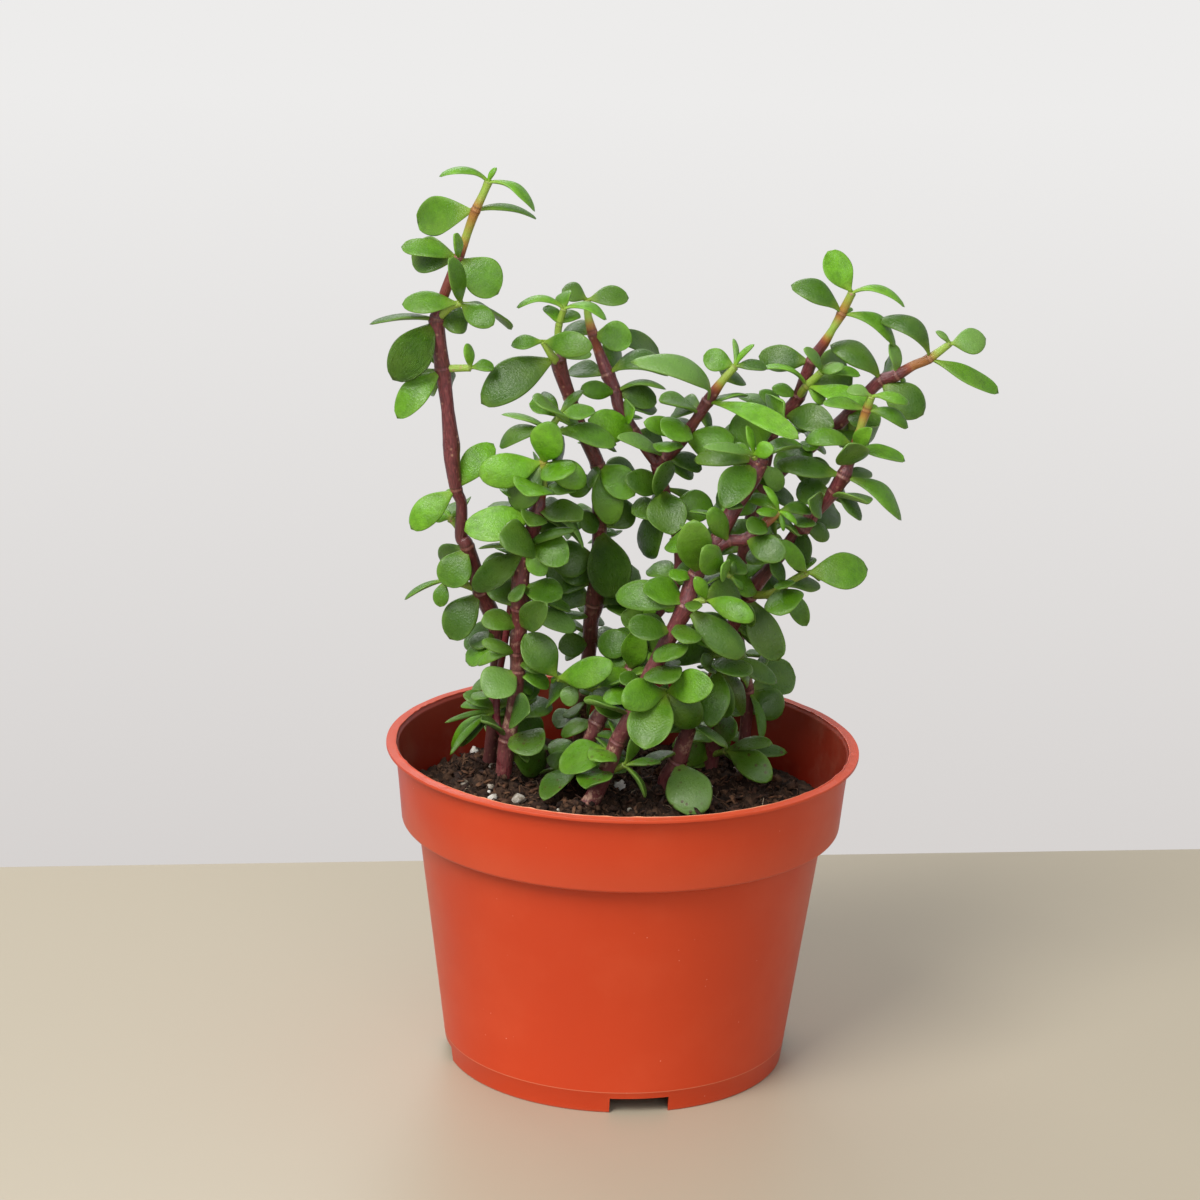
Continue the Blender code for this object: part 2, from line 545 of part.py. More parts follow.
def keep_largest_body(target):
    """Drops loose scraps, and fills hollows that the joining sealed, by keeping one connected surface."""
    shape = bmesh.new()
    shape.from_mesh(target.data)
    bmesh.ops.triangulate(shape, faces=shape.faces)
    bmesh.ops.dissolve_degenerate(shape, dist=SHORTEST_EDGE * MM, edges=shape.edges)
    bmesh.ops.triangulate(shape, faces=shape.faces)
    waiting = set(shape.faces)
    bodies = []
    while waiting:
        start = waiting.pop()
        body = {start}
        growing = [start]
        while growing:
            for edge in growing.pop().edges:
                if len(edge.link_faces) != 2:
                    continue
                for face in edge.link_faces:
                    if face not in body:
                        body.add(face)
                        growing.append(face)
        waiting -= body
        bodies.append(body)
    largest = max(bodies, key=len)
    scraps = [face for face in shape.faces if face not in largest]
    bmesh.ops.delete(shape, geom=scraps, context="FACES")
    shape.to_mesh(target.data)
    shape.free()


def ring_faces(rings, sides):
    """The side faces and both caps of a stack of closed rings of corners."""
    faces = []
    for ring in range(rings - 1):
        for side in range(sides):
            low = ring * sides + side
            low_next = ring * sides + (side + 1) % sides
            faces.append((low, low_next, low_next + sides, low + sides))
    faces.append(tuple(reversed(range(sides))))
    faces.append(tuple(range((rings - 1) * sides, rings * sides)))
    return faces


def shoot_body(points, thicknesses, sides):
    """A tapering tube along the points, as its own points and faces."""
    corners = []
    across = None
    for index, point in enumerate(points):
        before = points[max(index - 1, 0)]
        after = points[min(index + 1, len(points) - 1)]
        along = (after - before).normalized()
        if across is None:
            across = along.orthogonal().normalized()
        across = (across - along * across.dot(along)).normalized()
        other = along.cross(across)
        for side in range(sides):
            angle = 2 * math.pi * side / sides
            spoke = across * math.cos(angle) + other * math.sin(angle)
            corners.append(point + spoke * thicknesses[index] / 2)
    return corners, ring_faces(len(points), sides)


def leaf_width(t):
    """Half width of an egg-shaped blade as a share of its widest half width, t from base to tip."""
    if t > LEAF_WIDEST_AT:
        return math.sqrt(max(0.0, 1 - ((t - LEAF_WIDEST_AT) / (1 - LEAF_WIDEST_AT)) ** 2))
    return math.sin(math.pi / 2 * t / LEAF_WIDEST_AT) ** 1.1


def leaf_body(base, tip, width, words, first_ring, more=0.0):
    """A plump blade from base to tip. more makes it thicker and wider all round, to test what it clears."""
    axis = tip - base
    length = axis.length
    along = axis / length
    eye = towards_eye(base)
    facing = (eye - along * eye.dot(along)).normalized()
    rise = Vector((0, 0, 1)) - along * along.z
    if rise.length < LEAST_RISE:
        rise = along.cross(facing)
    rise = (rise - facing * rise.dot(facing)).normalized()
    turn = math.radians(next(TURN_DEGREES[word] for word in words if word in TURN_DEGREES))
    normal = (facing * math.cos(turn) + rise * math.sin(turn)).normalized()
    sideways = along.cross(normal)
    arch = length * next((ARCH[word] for word in words if word in ARCH), PLAIN_ARCH)
    thickness = next(LEAF_THICKNESS[word] for word in words if word in LEAF_THICKNESS)
    corners = []
    rings = [t for t in LEAF_RINGS if t >= first_ring]
    for t in rings:
        middle = base + axis * t + normal * arch * 4 * t * (1 - t)
        half_width = max(LEAF_STALK / 2, leaf_width(t) * width / 2) + more
        half_thickness = (LEAF_STALK + (thickness - LEAF_STALK) * min(1.0, t / LEAF_FULL_AT)) / 2 + more
        corners.append(middle - sideways * half_width)
        corners.append(middle + normal * half_thickness)
        corners.append(middle + sideways * half_width)
        corners.append(middle - normal * half_thickness)
    faces = ring_faces(len(rings), 4)[:-1]
    last = len(corners) - 4
    corners.append(tip + along * more)
    end = len(corners) - 1
    for side in range(4):
        faces.append((last + side, last + (side + 1) % 4, end))
    return corners, faces


def nearest_on_shoots(shoots, across, up):
    """The point on the middle of the stem's shoots that looks nearest to (across, up), with its depth."""
    wanted = Vector((across, up))
    best = None
    for shoot in shoots:
        for start, end in zip(shoot, shoot[1:]):
            low = Vector(start[:2])
            run = Vector(end[:2]) - low
            share = min(1.0, max(0.0, (wanted - low).dot(run) / run.length_squared))
            found = low + run * share
            gap = (found - wanted).length
            if best is None or gap < best[0]:
                best = (gap, found.x, found.y, start[2] + (end[2] - start[2]) * share)
    return best[1:]


def soil_height(x, y):
    waves = math.sin(x * 0.31 + 1.3) * math.cos(y * 0.27) + 0.6 * math.sin(0.55 * y - 0.4 * x)
    return SOIL_HEIGHT + SOIL_SLOPE * x + SOIL_BUMPS * 0.5 * waves


def in_free_air(corners):
    """Whether a leaf is above the soil and inside or above the pot's lip."""
    for corner in corners:
        reach = math.hypot(corner.x, corner.y)
        if reach < BAND_FOOT_RADIUS and corner.z < soil_height(corner.x, corner.y) + ABOVE_SOIL:
            return False
        if corner.z < POT_HEIGHT + ABOVE_LIP and reach > BAND_FOOT_RADIUS - INSIDE_WALL:
            return False
    return True


class Surroundings:
    """What stands already, as (stem name, lowest corner, highest corner, tree of its faces)."""

    def __init__(self):
        self.bodies = []

    @staticmethod
    def box(corners):
        low = Vector([min(corner[axis] for corner in corners) for axis in range(3)])
        high = Vector([max(corner[axis] for corner in corners) for axis in range(3)])
        return low, high

    def add(self, stem, corners, faces):
        low, high = self.box(corners)
        tree = BVHTree.FromPolygons(corners, faces)
        self.bodies.append((stem, low, high, tree))

    def touches(self, corners, faces, chosen):
        low, high = self.box(corners)
        tree = None
        for stem, other_low, other_high, other_tree in self.bodies:
            if not chosen(stem):
                continue
            if any(low[axis] > other_high[axis] or high[axis] < other_low[axis] for axis in range(3)):
                continue
            tree = tree or BVHTree.FromPolygons(corners, faces)
            if tree.overlap(other_tree):
                return True
        return False


def lean_of(words, seen, downwards):
    """How much further back a leaf's tip is than its base."""
    if "back" in words:
        return LEAN_BACK * seen
    if "front" in words:
        return LEAN_FRONT * seen
    if "face" in words:
        return (FACE_LEAN_DOWN if downwards else FACE_LEAN_UP) * seen
    return 0.0


def leaves_of(stem_name, stem):
    """Every leaf of a stem as (size, stem name, base, tip across, tip up, tip back, width, words)."""
    for (across, up), group in stem["leaves"].items():
        base = nearest_on_shoots(stem["shoots"], across, up)
        for tip_across, tip_up, width, text in group:
            words = text.split()
            seen = math.hypot(tip_across - base[0], tip_up - base[1])
            tip_back = base[2] + lean_of(words, seen, tip_up < base[1])
            yield seen * width, stem_name, base, tip_across, tip_up, tip_back, width, words


def clear_tip(around, stem_name, root, tip_across, tip_up, tip_back, width, words):
    """The leaf's tip, swung back or forward about its base until the leaf is clear of the rest, or None."""
    for swing in SWINGS:
        tip = placed(tip_across, tip_up, tip_back + swing)
        whole = leaf_body(root, tip, width, words, 0.0, LEAF_GAP)
        blade = leaf_body(root, tip, width, words, LEAF_FREE_FROM, LEAF_GAP)
        if not in_free_air(blade[0]):
            continue
        if around.touches(*whole, lambda other: other != stem_name):
            continue
        if around.touches(*blade, lambda other: other == stem_name):
            continue
        return tip
    return None


def depth_leaves():
    """Seeded leaves at the stems' joints that point back or forward, as those of leaves_of."""
    draw = random.Random(DEPTH_SEED)
    joints = []
    for name, stem in STEMS.items():
        for shoot in stem["shoots"]:
            for across, up, back, thickness in shoot[1:-1]:
                if up > DEPTH_LOWEST and thickness > DEPTH_THINNEST:
                    joints.append((name, across, up, back))
    for _ in range(DEPTH_TRIES):
        name, across, up, back = draw.choice(joints)
        heading = math.radians(draw.uniform(*DEPTH_HEADINGS))
        if draw.random() > DEPTH_BACK_SHARE:
            heading = -heading
        length = draw.uniform(*DEPTH_LENGTHS)
        rise = draw.uniform(*DEPTH_RISES)
        level = length / math.hypot(1.0, rise)
        tip_across = across + level * math.cos(heading)
        tip_back = back + level * math.sin(heading)
        width = length * draw.uniform(*DEPTH_WIDTHS)
        words = draw.choice(DEPTH_LOOKS).split()
        yield 0.0, name, (across, up, back), tip_across, up + level * rise, tip_back, width, words


def settled_leaves(around):
    """Every leaf with a clear place, as (stem name, root, tip, width, words): listed ones, then depth ones."""
    listed = [leaf for name, stem in STEMS.items() for leaf in leaves_of(name, stem)]
    listed.sort(key=lambda leaf: -leaf[0])
    settled = []
    most = len(listed)
    for leaf in (*listed, *depth_leaves()):
        _, stem_name, base, tip_across, tip_up, tip_back, width, words = leaf
        root = placed(*base)
        tip = clear_tip(around, stem_name, root, tip_across, tip_up, tip_back, width, words)
        if tip is None:
            continue
        around.add(stem_name, *leaf_body(root, tip, width, words, 0.0))
        settled.append((stem_name, root, tip, width, words))
        if len(settled) == most + DEPTH_LEAVES:
            break
    return settled


def shoot_points(shoot, is_main):
    """A shoot's middle line and thicknesses, with the buried end of a main one first."""
    points = [placed(across, up, back) for across, up, back, _ in shoot]
    thicknesses = [thickness for _, _, _, thickness in shoot]
    if is_main:
        surface = points[0]
        points.insert(0, Vector((surface.x * BURIED_INWARDS, surface.y * BURIED_INWARDS, surface.z - BURIED)))
        thicknesses.insert(0, thicknesses[0])
    return points, thicknesses


def make_stems(material):
    """One object for each stem, its shoots and leaves joined in one body. Returns the buried ends too."""
    around = Surroundings()
    bodies = {name: [] for name in STEMS}
    sockets = []
    for name, stem in STEMS.items():
        for index, shoot in enumerate(stem["shoots"]):
            points, thicknesses = shoot_points(shoot, index == 0)
            sides = STEM_SIDES if thicknesses[0] > THIN_SHOOT else THIN_SHOOT_SIDES
            corners, faces = shoot_body(points, thicknesses, sides)
            bodies[name].append((corners, faces))
            around.add(name, corners, faces)
            if index == 0:
                sockets.append((points[0], points[1], points[2], thicknesses[0]))
    for name, root, tip, width, words in settled_leaves(around):
        bodies[name].append(leaf_body(root, tip, width, words, 0.0))
    for name, parts in bodies.items():
        main = mesh_object(name, *parts[0], material)
        group = bpy.data.collections.new(name + "_growth")
        bpy.context.scene.collection.children.link(group)
        for number, (corners, faces) in enumerate(parts[1:]):
            part = mesh_object(f"{name}_{number}", corners, faces, material)
            group.objects.link(part)
            bpy.context.scene.collection.objects.unlink(part)
        apply_boolean(main, group, "UNION")
        keep_largest_body(main)
    return sockets


def turned(name, profile, sides, material):
    """A solid turned about the upright axis from a profile of (radius, height), on the axis at both ends."""
    shape = bmesh.new()
    points = [shape.verts.new((radius * MM, 0, height * MM)) for radius, height in profile]
    edges = [shape.edges.new(pair) for pair in zip(points, points[1:])]
    bmesh.ops.spin(
        shape, geom=points + edges, axis=(0, 0, 1), cent=(0, 0, 0), angle=2 * math.pi, steps=sides
    )
    bmesh.ops.remove_doubles(shape, verts=shape.verts, dist=1e-6)
    bmesh.ops.recalc_face_normals(shape, faces=shape.faces)
    mesh = bpy.data.meshes.new(name)
    shape.to_mesh(mesh)
    shape.free()
    mesh.materials.append(material)
    made = bpy.data.objects.new(name, mesh)
    bpy.context.scene.collection.objects.link(made)
    return made


def wall_radius(height):
    """Outer radius of the wall under the band."""
    return FOOT_RADIUS + (WALL_TOP_RADIUS - FOOT_RADIUS) * height / BAND_FOOT_HEIGHT


def rod(name, start, end, radius, sides):
    return mesh_object(name, *shoot_body([start, end], [2 * radius, 2 * radius], sides))


def make_pot(material):
    lip_foot = POT_HEIGHT - LIP_THICKNESS
    floor_top = FLOOR_UNDERSIDE + WALL
    profile = [
        (0, 0),
        (BOSS_RADIUS, 0),
        (BOSS_RADIUS, FLOOR_UNDERSIDE),
        (wall_radius(FLOOR_UNDERSIDE) - WALL, FLOOR_UNDERSIDE),
        (FOOT_RADIUS - WALL, 0),
        (FOOT_RADIUS, 0),
        (wall_radius(SCRIBED_LINE_HEIGHT), SCRIBED_LINE_HEIGHT),
        (WALL_TOP_RADIUS, BAND_FOOT_HEIGHT - BAND_ROUNDING),
        (BAND_FOOT_RADIUS - BAND_ROUNDING, BAND_FOOT_HEIGHT - BAND_ROUNDING),
        (BAND_FOOT_RADIUS, BAND_FOOT_HEIGHT),
        (BAND_TOP_RADIUS, lip_foot),
        (LIP_RADIUS, lip_foot),
        (LIP_RADIUS, POT_HEIGHT),
        (LIP_RADIUS - LIP_WIDTH, POT_HEIGHT),
        (BAND_TOP_RADIUS - WALL, lip_foot),
        (BAND_FOOT_RADIUS - WALL, BAND_FOOT_HEIGHT + WALL - BAND_ROUNDING),
        (WALL_TOP_RADIUS - WALL, BAND_FOOT_HEIGHT + WALL - BAND_ROUNDING),
        (wall_radius(floor_top) - WALL, floor_top),
        (0, floor_top),
    ]
    pot = turned("pot", profile, POT_SIDES, material)
    cutters = []
    for notch in range(NOTCH_COUNT):
        angle = math.radians(FIRST_NOTCH_DEGREES + notch * 360 / NOTCH_COUNT)
        outwards = Vector((math.sin(angle), -math.cos(angle), 0))
        sideways = Vector((math.cos(angle), math.sin(angle), 0))
        corners = []
        for height in (-CUT_BEYOND, NOTCH_HEIGHT):
            for reach, side in ((NOTCH_FROM, -1), (NOTCH_TO, -1), (NOTCH_TO, 1), (NOTCH_FROM, 1)):
                corner = outwards * reach + sideways * side * NOTCH_WIDTH / 2
                corners.append(corner + Vector((0, 0, height)))
        cutters.append(mesh_object("notch", corners, ring_faces(2, 4)))
        middle = Vector((math.sin(angle + math.pi / 4), -math.cos(angle + math.pi / 4), 0))
        middle = middle * DRAIN_HOLE_CIRCLE
        low = middle + Vector((0, 0, FLOOR_UNDERSIDE - CUT_BEYOND))
        high = middle + Vector((0, 0, floor_top + CUT_BEYOND))
        cutters.append(rod("drain_hole", low, high, DRAIN_HOLE_RADIUS, DRAIN_HOLE_SIDES))
    cut(pot, cutters)


def make_soil(material, sockets):
    """The soil that fills the pot, with one plain hole for each stem."""
    random.seed(SOIL_SEED)
    under = FLOOR_UNDERSIDE + WALL + CLEARANCE
    step = BAND_FOOT_HEIGHT + WALL - BAND_ROUNDING
    outline = [
        (wall_radius(under) - WALL - CLEARANCE, under),
        (WALL_TOP_RADIUS - WALL - CLEARANCE, step),
        (WALL_TOP_RADIUS - WALL - CLEARANCE, step + CLEARANCE),
        (BAND_FOOT_RADIUS - WALL - CLEARANCE, step + CLEARANCE),
    ]
    corners = [Vector((0, 0, under))]
    rings = []
    directions = [
        Vector((math.cos(2 * math.pi * side / SOIL_SIDES), math.sin(2 * math.pi * side / SOIL_SIDES), 0))
        for side in range(SOIL_SIDES)
    ]
    for radius, height in outline:
        rings.append(range(len(corners), len(corners) + SOIL_SIDES))
        corners += [direction * radius + Vector((0, 0, height)) for direction in directions]
    surface_radii = (BAND_FOOT_RADIUS - WALL - CLEARANCE, *reversed(SOIL_RINGS))
    for number, radius in enumerate(surface_radii):
        rings.append(range(len(corners), len(corners) + SOIL_SIDES))
        for direction in directions:
            point = direction * radius
            height = soil_height(point.x, point.y) + random.uniform(-SOIL_ROUGHNESS, SOIL_ROUGHNESS)
            if number < SOIL_EDGE_RINGS:
                height = max(height, SOIL_EDGE_LEAST)
            corners.append(Vector((point.x, point.y, height)))
    top = len(corners)
    corners.append(Vector((0, 0, soil_height(0, 0))))
    faces = []
    for side in range(SOIL_SIDES):
        following = (side + 1) % SOIL_SIDES
        faces.append((0, rings[0][following], rings[0][side]))
        faces.append((top, rings[-1][side], rings[-1][following]))
        for lower, upper in zip(rings, rings[1:]):
            faces.append((lower[side], lower[following], upper[following]))
            faces.append((lower[side], upper[following], upper[side]))
    soil = mesh_object("soil", corners, faces, material)
    holes = []
    for bottom, surface, above, thickness in sockets:
        low = bottom - Vector((0, 0, CLEARANCE))
        high = surface + (above - surface).normalized() * HOLE_ABOVE
        wide = [thickness + 2 * CLEARANCE] * 3
        holes.append(mesh_object("stem_hole", *shoot_body([low, surface, high], wide, STEM_SIDES)))
    cut(soil, holes)


def main():
    for thing in list(bpy.data.objects):
        bpy.data.objects.remove(thing)
    make_pot(plain_material("terracotta_plastic", POT_COLOUR, 0.4))
    sockets = make_stems(plain_material("leaf_and_stem", LEAF_COLOUR, 0.4))
    make_soil(plain_material("potting_soil", SOIL_COLOUR, 0.95), sockets)


main()
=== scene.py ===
"""Looks of the potted elephant bush: glossy orange plastic pot, crumbly soil, and eight leafy cuttings.

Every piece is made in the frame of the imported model, in metres. Sizes below are in millimetres, apart
from the bump depths and scattering scales of the materials and the camera's clipping, in metres.
"""

import json
import math
import random

import bmesh
import bpy
from mathutils import Matrix, Vector, noise
from mathutils.bvhtree import BVHTree

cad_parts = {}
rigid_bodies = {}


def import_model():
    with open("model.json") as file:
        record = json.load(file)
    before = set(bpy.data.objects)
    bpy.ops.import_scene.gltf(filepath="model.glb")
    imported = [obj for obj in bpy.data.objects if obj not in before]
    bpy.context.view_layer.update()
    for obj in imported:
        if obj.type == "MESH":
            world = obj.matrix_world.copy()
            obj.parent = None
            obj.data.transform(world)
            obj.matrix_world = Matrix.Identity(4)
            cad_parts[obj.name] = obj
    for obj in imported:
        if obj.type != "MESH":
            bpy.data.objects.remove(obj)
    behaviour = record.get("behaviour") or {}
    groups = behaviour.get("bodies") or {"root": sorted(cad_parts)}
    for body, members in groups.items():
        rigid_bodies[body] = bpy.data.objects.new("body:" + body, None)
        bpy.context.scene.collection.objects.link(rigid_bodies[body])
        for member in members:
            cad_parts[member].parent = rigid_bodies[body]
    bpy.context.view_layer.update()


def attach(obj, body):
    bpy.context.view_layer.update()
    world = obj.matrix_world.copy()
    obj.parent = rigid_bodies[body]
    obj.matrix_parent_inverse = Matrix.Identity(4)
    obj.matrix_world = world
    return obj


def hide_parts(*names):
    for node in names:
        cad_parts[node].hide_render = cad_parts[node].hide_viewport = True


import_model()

MM = 0.001

# The camera, at the photograph's angle
LENS = 109.1
SENSOR = 36.0
TARGET = (-6.1, 0.0, 108.2)
CAMERA_DISTANCE = 822.6
CAMERA_ELEVATION = 15.89
CAMERA_ROLL = 1.61

# The pot, a thin moulded wall with a wide band at the top under a flat lip
POT_HEIGHT = 74.7
LIP_RADIUS = 54.0
LIP_WIDTH = 2.2
LIP_THICKNESS = 0.9
BAND_TOP_RADIUS = 52.0
BAND_FOOT_RADIUS = 50.2
BAND_FOOT_HEIGHT = 57.0
BAND_ROUNDING = 0.6
WALL_TOP_RADIUS = 46.6
FOOT_RADIUS = 39.05
WALL = 0.85
FLOOR_UNDERSIDE = 3.9
BOSS_RADIUS = 9.0
POT_SIDES = 192
SCRIBED_LINE_HEIGHT = 5.1

# The drainage notches in the foot and the holes in the floor
NOTCH_WIDTH = 13.4
NOTCH_HEIGHT = 3.6
NOTCH_COUNT = 4
FIRST_NOTCH_DEGREES = 8.6
NOTCH_FROM = 36.0
NOTCH_TO = 42.0
DRAIN_HOLE_RADIUS = 4.0
DRAIN_HOLE_CIRCLE = 27.0
DRAIN_HOLE_SIDES = 32
CUT_BEYOND = 1.0

# The soil
CLEARANCE = 0.35
SOIL_HEIGHT = 59.0
SOIL_SLOPE = -0.035
SOIL_BUMPS = 1.0
BURIED = 13.0
BURIED_INWARDS = 0.96

# The eye that the plant's points are read from: its place in front of the pot's axis
EYE_ACROSS = -6.1
EYE_FRONT = 791.2
EYE_UP = 333.4

# Stems
STEM_SIDES = 6
THIN_SHOOT = 2.1
THIN_SHOOT_SIDES = 5

# Leaves
LEAF_THICKNESS = {"young": 1.5, "mid": 1.6, "dark": 1.7, "pale": 1.5, "wrinkled": 1.4}
LEAF_STALK = 0.9
LEAF_WIDEST_AT = 0.6
LEAF_FULL_AT = 0.4
LEAF_FREE_FROM = 0.3
LEAST_RISE = 0.35
LEAF_RINGS = (0.0, 0.3, 0.62, 0.9)
ARCH = {"strong": 0.3, "arched": 0.18}
PLAIN_ARCH = 0.07
TURN_DEGREES = {"face": 12.0, "half": 45.0, "edge": 78.0}
LEAN_BACK = 0.75
LEAN_FRONT = -0.7
FACE_LEAN_UP = 0.2
FACE_LEAN_DOWN = -0.25
LEAF_GAP = 0.45
ABOVE_SOIL = 1.2
ABOVE_LIP = 0.6
INSIDE_WALL = 1.5
SWINGS = (0, 2, -2, 4, -4, 6, -6, 8, -8, 10, -10, 12, -12, 15, -15)

# Further leaves that point away from or towards the eye, which fill the plant out in depth
DEPTH_LEAVES = 35
DEPTH_TRIES = 900
DEPTH_SEED = 21
DEPTH_LOWEST = 70.0
DEPTH_THINNEST = 1.5
DEPTH_BACK_SHARE = 0.8
DEPTH_LENGTHS = (9.5, 13.5)
DEPTH_WIDTHS = (0.58, 0.74)
DEPTH_HEADINGS = (25.0, 155.0)
DEPTH_RISES = (-0.25, 0.7)
DEPTH_LOOKS = ("face dark", "half dark", "face mid", "half mid", "face dark", "half arched dark")

# Each stem has shoots, as lists of (across, up, back, thickness), and leaves, listed under the point
# that they grow from, (across, up), as (tip across, tip up, width, words). Across and up are read on
# the upright plane through the pot's axis, as the eye sees them, and back is the real depth behind it.

FRONT_LEFT = {
    "shoots": [
        [
            (-27.4, 62.8, 10, 3.7), (-26.4, 74.2, 9, 4.1), (-25.5, 79, 9, 3.5), (-24.9, 84, 8, 3.4),
            (-24.4, 90.8, 8, 3.5), (-24.6, 97, 7, 3.6), (-24.1, 101.7, 6, 3.8), (-24, 105.8, 5, 4.4),
            (-24.2, 110.5, 4, 4.3), (-24, 115, 4, 4), (-22.9, 119.5, 3, 3.6), (-22, 122.7, 3, 3.3),
            (-20.9, 128, 2, 3.9), (-20.1, 131.8, 2, 2.5), (-19.5, 134.6, 1, 1.8), (-19.7, 139.8, 1, 2),
            (-18.3, 147, 0, 1.8), (-16.4, 150.6, 0, 1.4),
        ],
        [
            (-26.4, 74.2, 9, 1.8), (-28.6, 77.5, 11, 1.8), (-29.1, 81.2, 12, 1.8), (-28.8, 88, 13, 1.7),
            (-27.4, 97.8, 12, 1.6), (-26.2, 106.8, 11, 1.6),
        ],
    ],
    "leaves": {
        (-16.4, 150.6): [
            (-23.1, 153.2, 6, "half mid"), (-8.3, 152, 5.5, "half mid"),
            (-20, 156, 3, "half back dark"), (-11.3, 157, 3, "half back dark"),
        ],
        (-18.3, 147): [
            (-29, 151.2, 5, "edge pale"), (-29.6, 143.3, 5, "half arched dark"),
            (-3.5, 142.5, 4, "half back dark"), (-3.4, 144.4, 6, "half mid"),
        ],
        (-19.7, 139.8): [
            (-17.5, 148.4, 8.4, "face front young"), (-34, 136.8, 8, "face young"),
            (-10, 135.1, 6.5, "face young"), (-26.5, 129, 8.5, "face dark"),
        ],
        (-20.9, 128): [
            (-37, 123.8, 8.5, "face young"), (-9.6, 120.8, 4, "edge arched pale"),
            (-9.3, 122, 7, "half back dark"), (-14.5, 131, 5, "half back dark"),
        ],
        (-22.9, 119.5): [
            (-33.8, 119.8, 3, "edge mid"), (-35.1, 110, 6.5, "face wrinkled"),
            (-18.6, 113.5, 5, "face young"), (-12, 124.5, 3, "half arched dark"),
            (-28, 123, 3, "half dark"),
        ],
        (-24, 105.8): [(-11.3, 100.9, 6.5, "half pale")],
        (-24.4, 90.8): [(-31.5, 84.5, 9.3, "face front pale")],
        (-24.8, 95): [(-33.8, 92.6, 3.5, "half arched young"), (-32.3, 98, 4, "half mid")],
        (-26.4, 74.2): [(-16.8, 72.9, 3, "half arched pale"), (-21.6, 69, 3, "half mid")],
        (-26.2, 106.8): [(-26.8, 113.3, 3.3, "face young"), (-29.5, 108.5, 2.5, "half young")],
        (-29.1, 81.2): [
            (-39.9, 72.4, 4.5, "half arched young"), (-37.8, 72.8, 5, "half dark"),
            (-37.3, 82.8, 4, "half mid"), (-36.7, 85, 4.5, "half mid"),
            (-40.7, 78.4, 1.5, "half mid"), (-39.6, 70.7, 2, "half mid"),
        ],
    },
}

TALL_LEFT = {
    "shoots": [
        [
            (-30.8, 66.5, 22, 3.1), (-30, 73.8, 21, 3.1), (-29.3, 85, 19, 3.2), (-29.2, 98.4, 16, 3.3),
            (-30.6, 104.3, 14, 3.9), (-33, 109.5, 12, 4), (-36.3, 119.8, 8, 3.3), (-37.7, 122.3, 8, 3),
            (-37.8, 129.7, 6, 2.6), (-39, 133, 5, 2.8), (-40.1, 140, 4, 3.7), (-40.3, 143.4, 4, 4.1),
            (-41.2, 151, 3, 2.9), (-42.5, 160.6, 3, 3.6), (-43.3, 166, 2, 3.2), (-44, 171.6, 2, 3.6),
            (-43, 175, 2, 2.2), (-42.2, 178, 2, 2.4), (-39.4, 185.6, 2, 2.4), (-37.6, 191, 2, 1.9),
            (-35.8, 196.3, 1, 2.2), (-34.2, 200, 1, 1.8), (-33.1, 202.7, 1, 1.8),
        ],
        [(-44, 171.6, 2, 1.8), (-41, 174.6, 0, 1.8), (-38.3, 175.6, -1, 1.6)],
        [(-42.5, 160.6, 3, 1.8), (-36.3, 161, 2, 1.6)],
        [(-37.4, 122.5, 8, 1.6), (-39.2, 125.2, 9, 1.6), (-40.4, 126.2, 9, 1.6)],
        [(-33, 109.5, 12, 1.8), (-36.8, 111, 11, 1.8), (-41.3, 111.8, 10, 1.6)],
        [(-33, 109.5, 12, 1.8), (-30, 112, 12, 1.8), (-26.8, 113.8, 12, 1.6)],
    ],
    "leaves": {
        (-33.1, 202.7): [
            (-43.8, 204.4, 6, "edge arched young"), (-22.5, 196.9, 6, "edge arched young"),
            (-31.4, 205.9, 1.6, "half young"),
        ],
        (-35.8, 196.3): [(-48.4, 193.2, 8.8, "face back mid"), (-22.3, 196, 5, "edge back mid")],
        (-39.4, 185.6): [
            (-51.9, 188.4, 6, "half mid"), (-40.6, 191.2, 3.5, "half front young"),
            (-30.5, 177.8, 9, "face mid"),
        ],
        (-44, 171.6): [
            (-58.9, 170.9, 5, "edge dark"), (-37, 171.8, 8, "half front dark"),
            (-53.8, 158, 9.5, "face wrinkled"),
        ],
        (-38.8, 175.4): [
            (-51.7, 174.9, 6.5, "half mid"), (-40.8, 185.2, 6, "half front mid"),
            (-27.1, 170.4, 6, "edge back dark"), (-31.3, 170.7, 5.5, "face front mid"),
        ],
        (-42.5, 160.6): [
            (-52.6, 149.2, 6.8, "face mid"), (-47.5, 155.8, 7, "face back pale"),
            (-46.3, 164.4, 3.5, "half young"), (-40.2, 156.8, 4, "half back dark"),
        ],
        (-36.3, 161): [(-37.4, 166.5, 4, "half young"), (-31, 161, 4, "half mid")],
        (-39, 133): [
            (-31, 143.9, 6.5, "face young"), (-49.2, 123.8, 6.5, "face young"),
            (-35.3, 136.6, 3, "half young"), (-41.5, 130.5, 2.5, "half young"),
        ],
        (-40.4, 126.2): [
            (-37, 128, 2, "half arched mid"), (-42, 128.6, 2, "half young"), (-44, 126, 2.5, "half young"),
        ],
        (-36.3, 119.8): [(-41.2, 110.4, 8, "face mid"), (-42.3, 116, 7, "face back dark")],
        (-33, 109.5): [(-40, 98, 8, "face dark")],
        (-41.3, 111.8): [(-50.5, 107.3, 4, "edge mid"), (-42.3, 105.5, 3.8, "face mid")],
    },
}

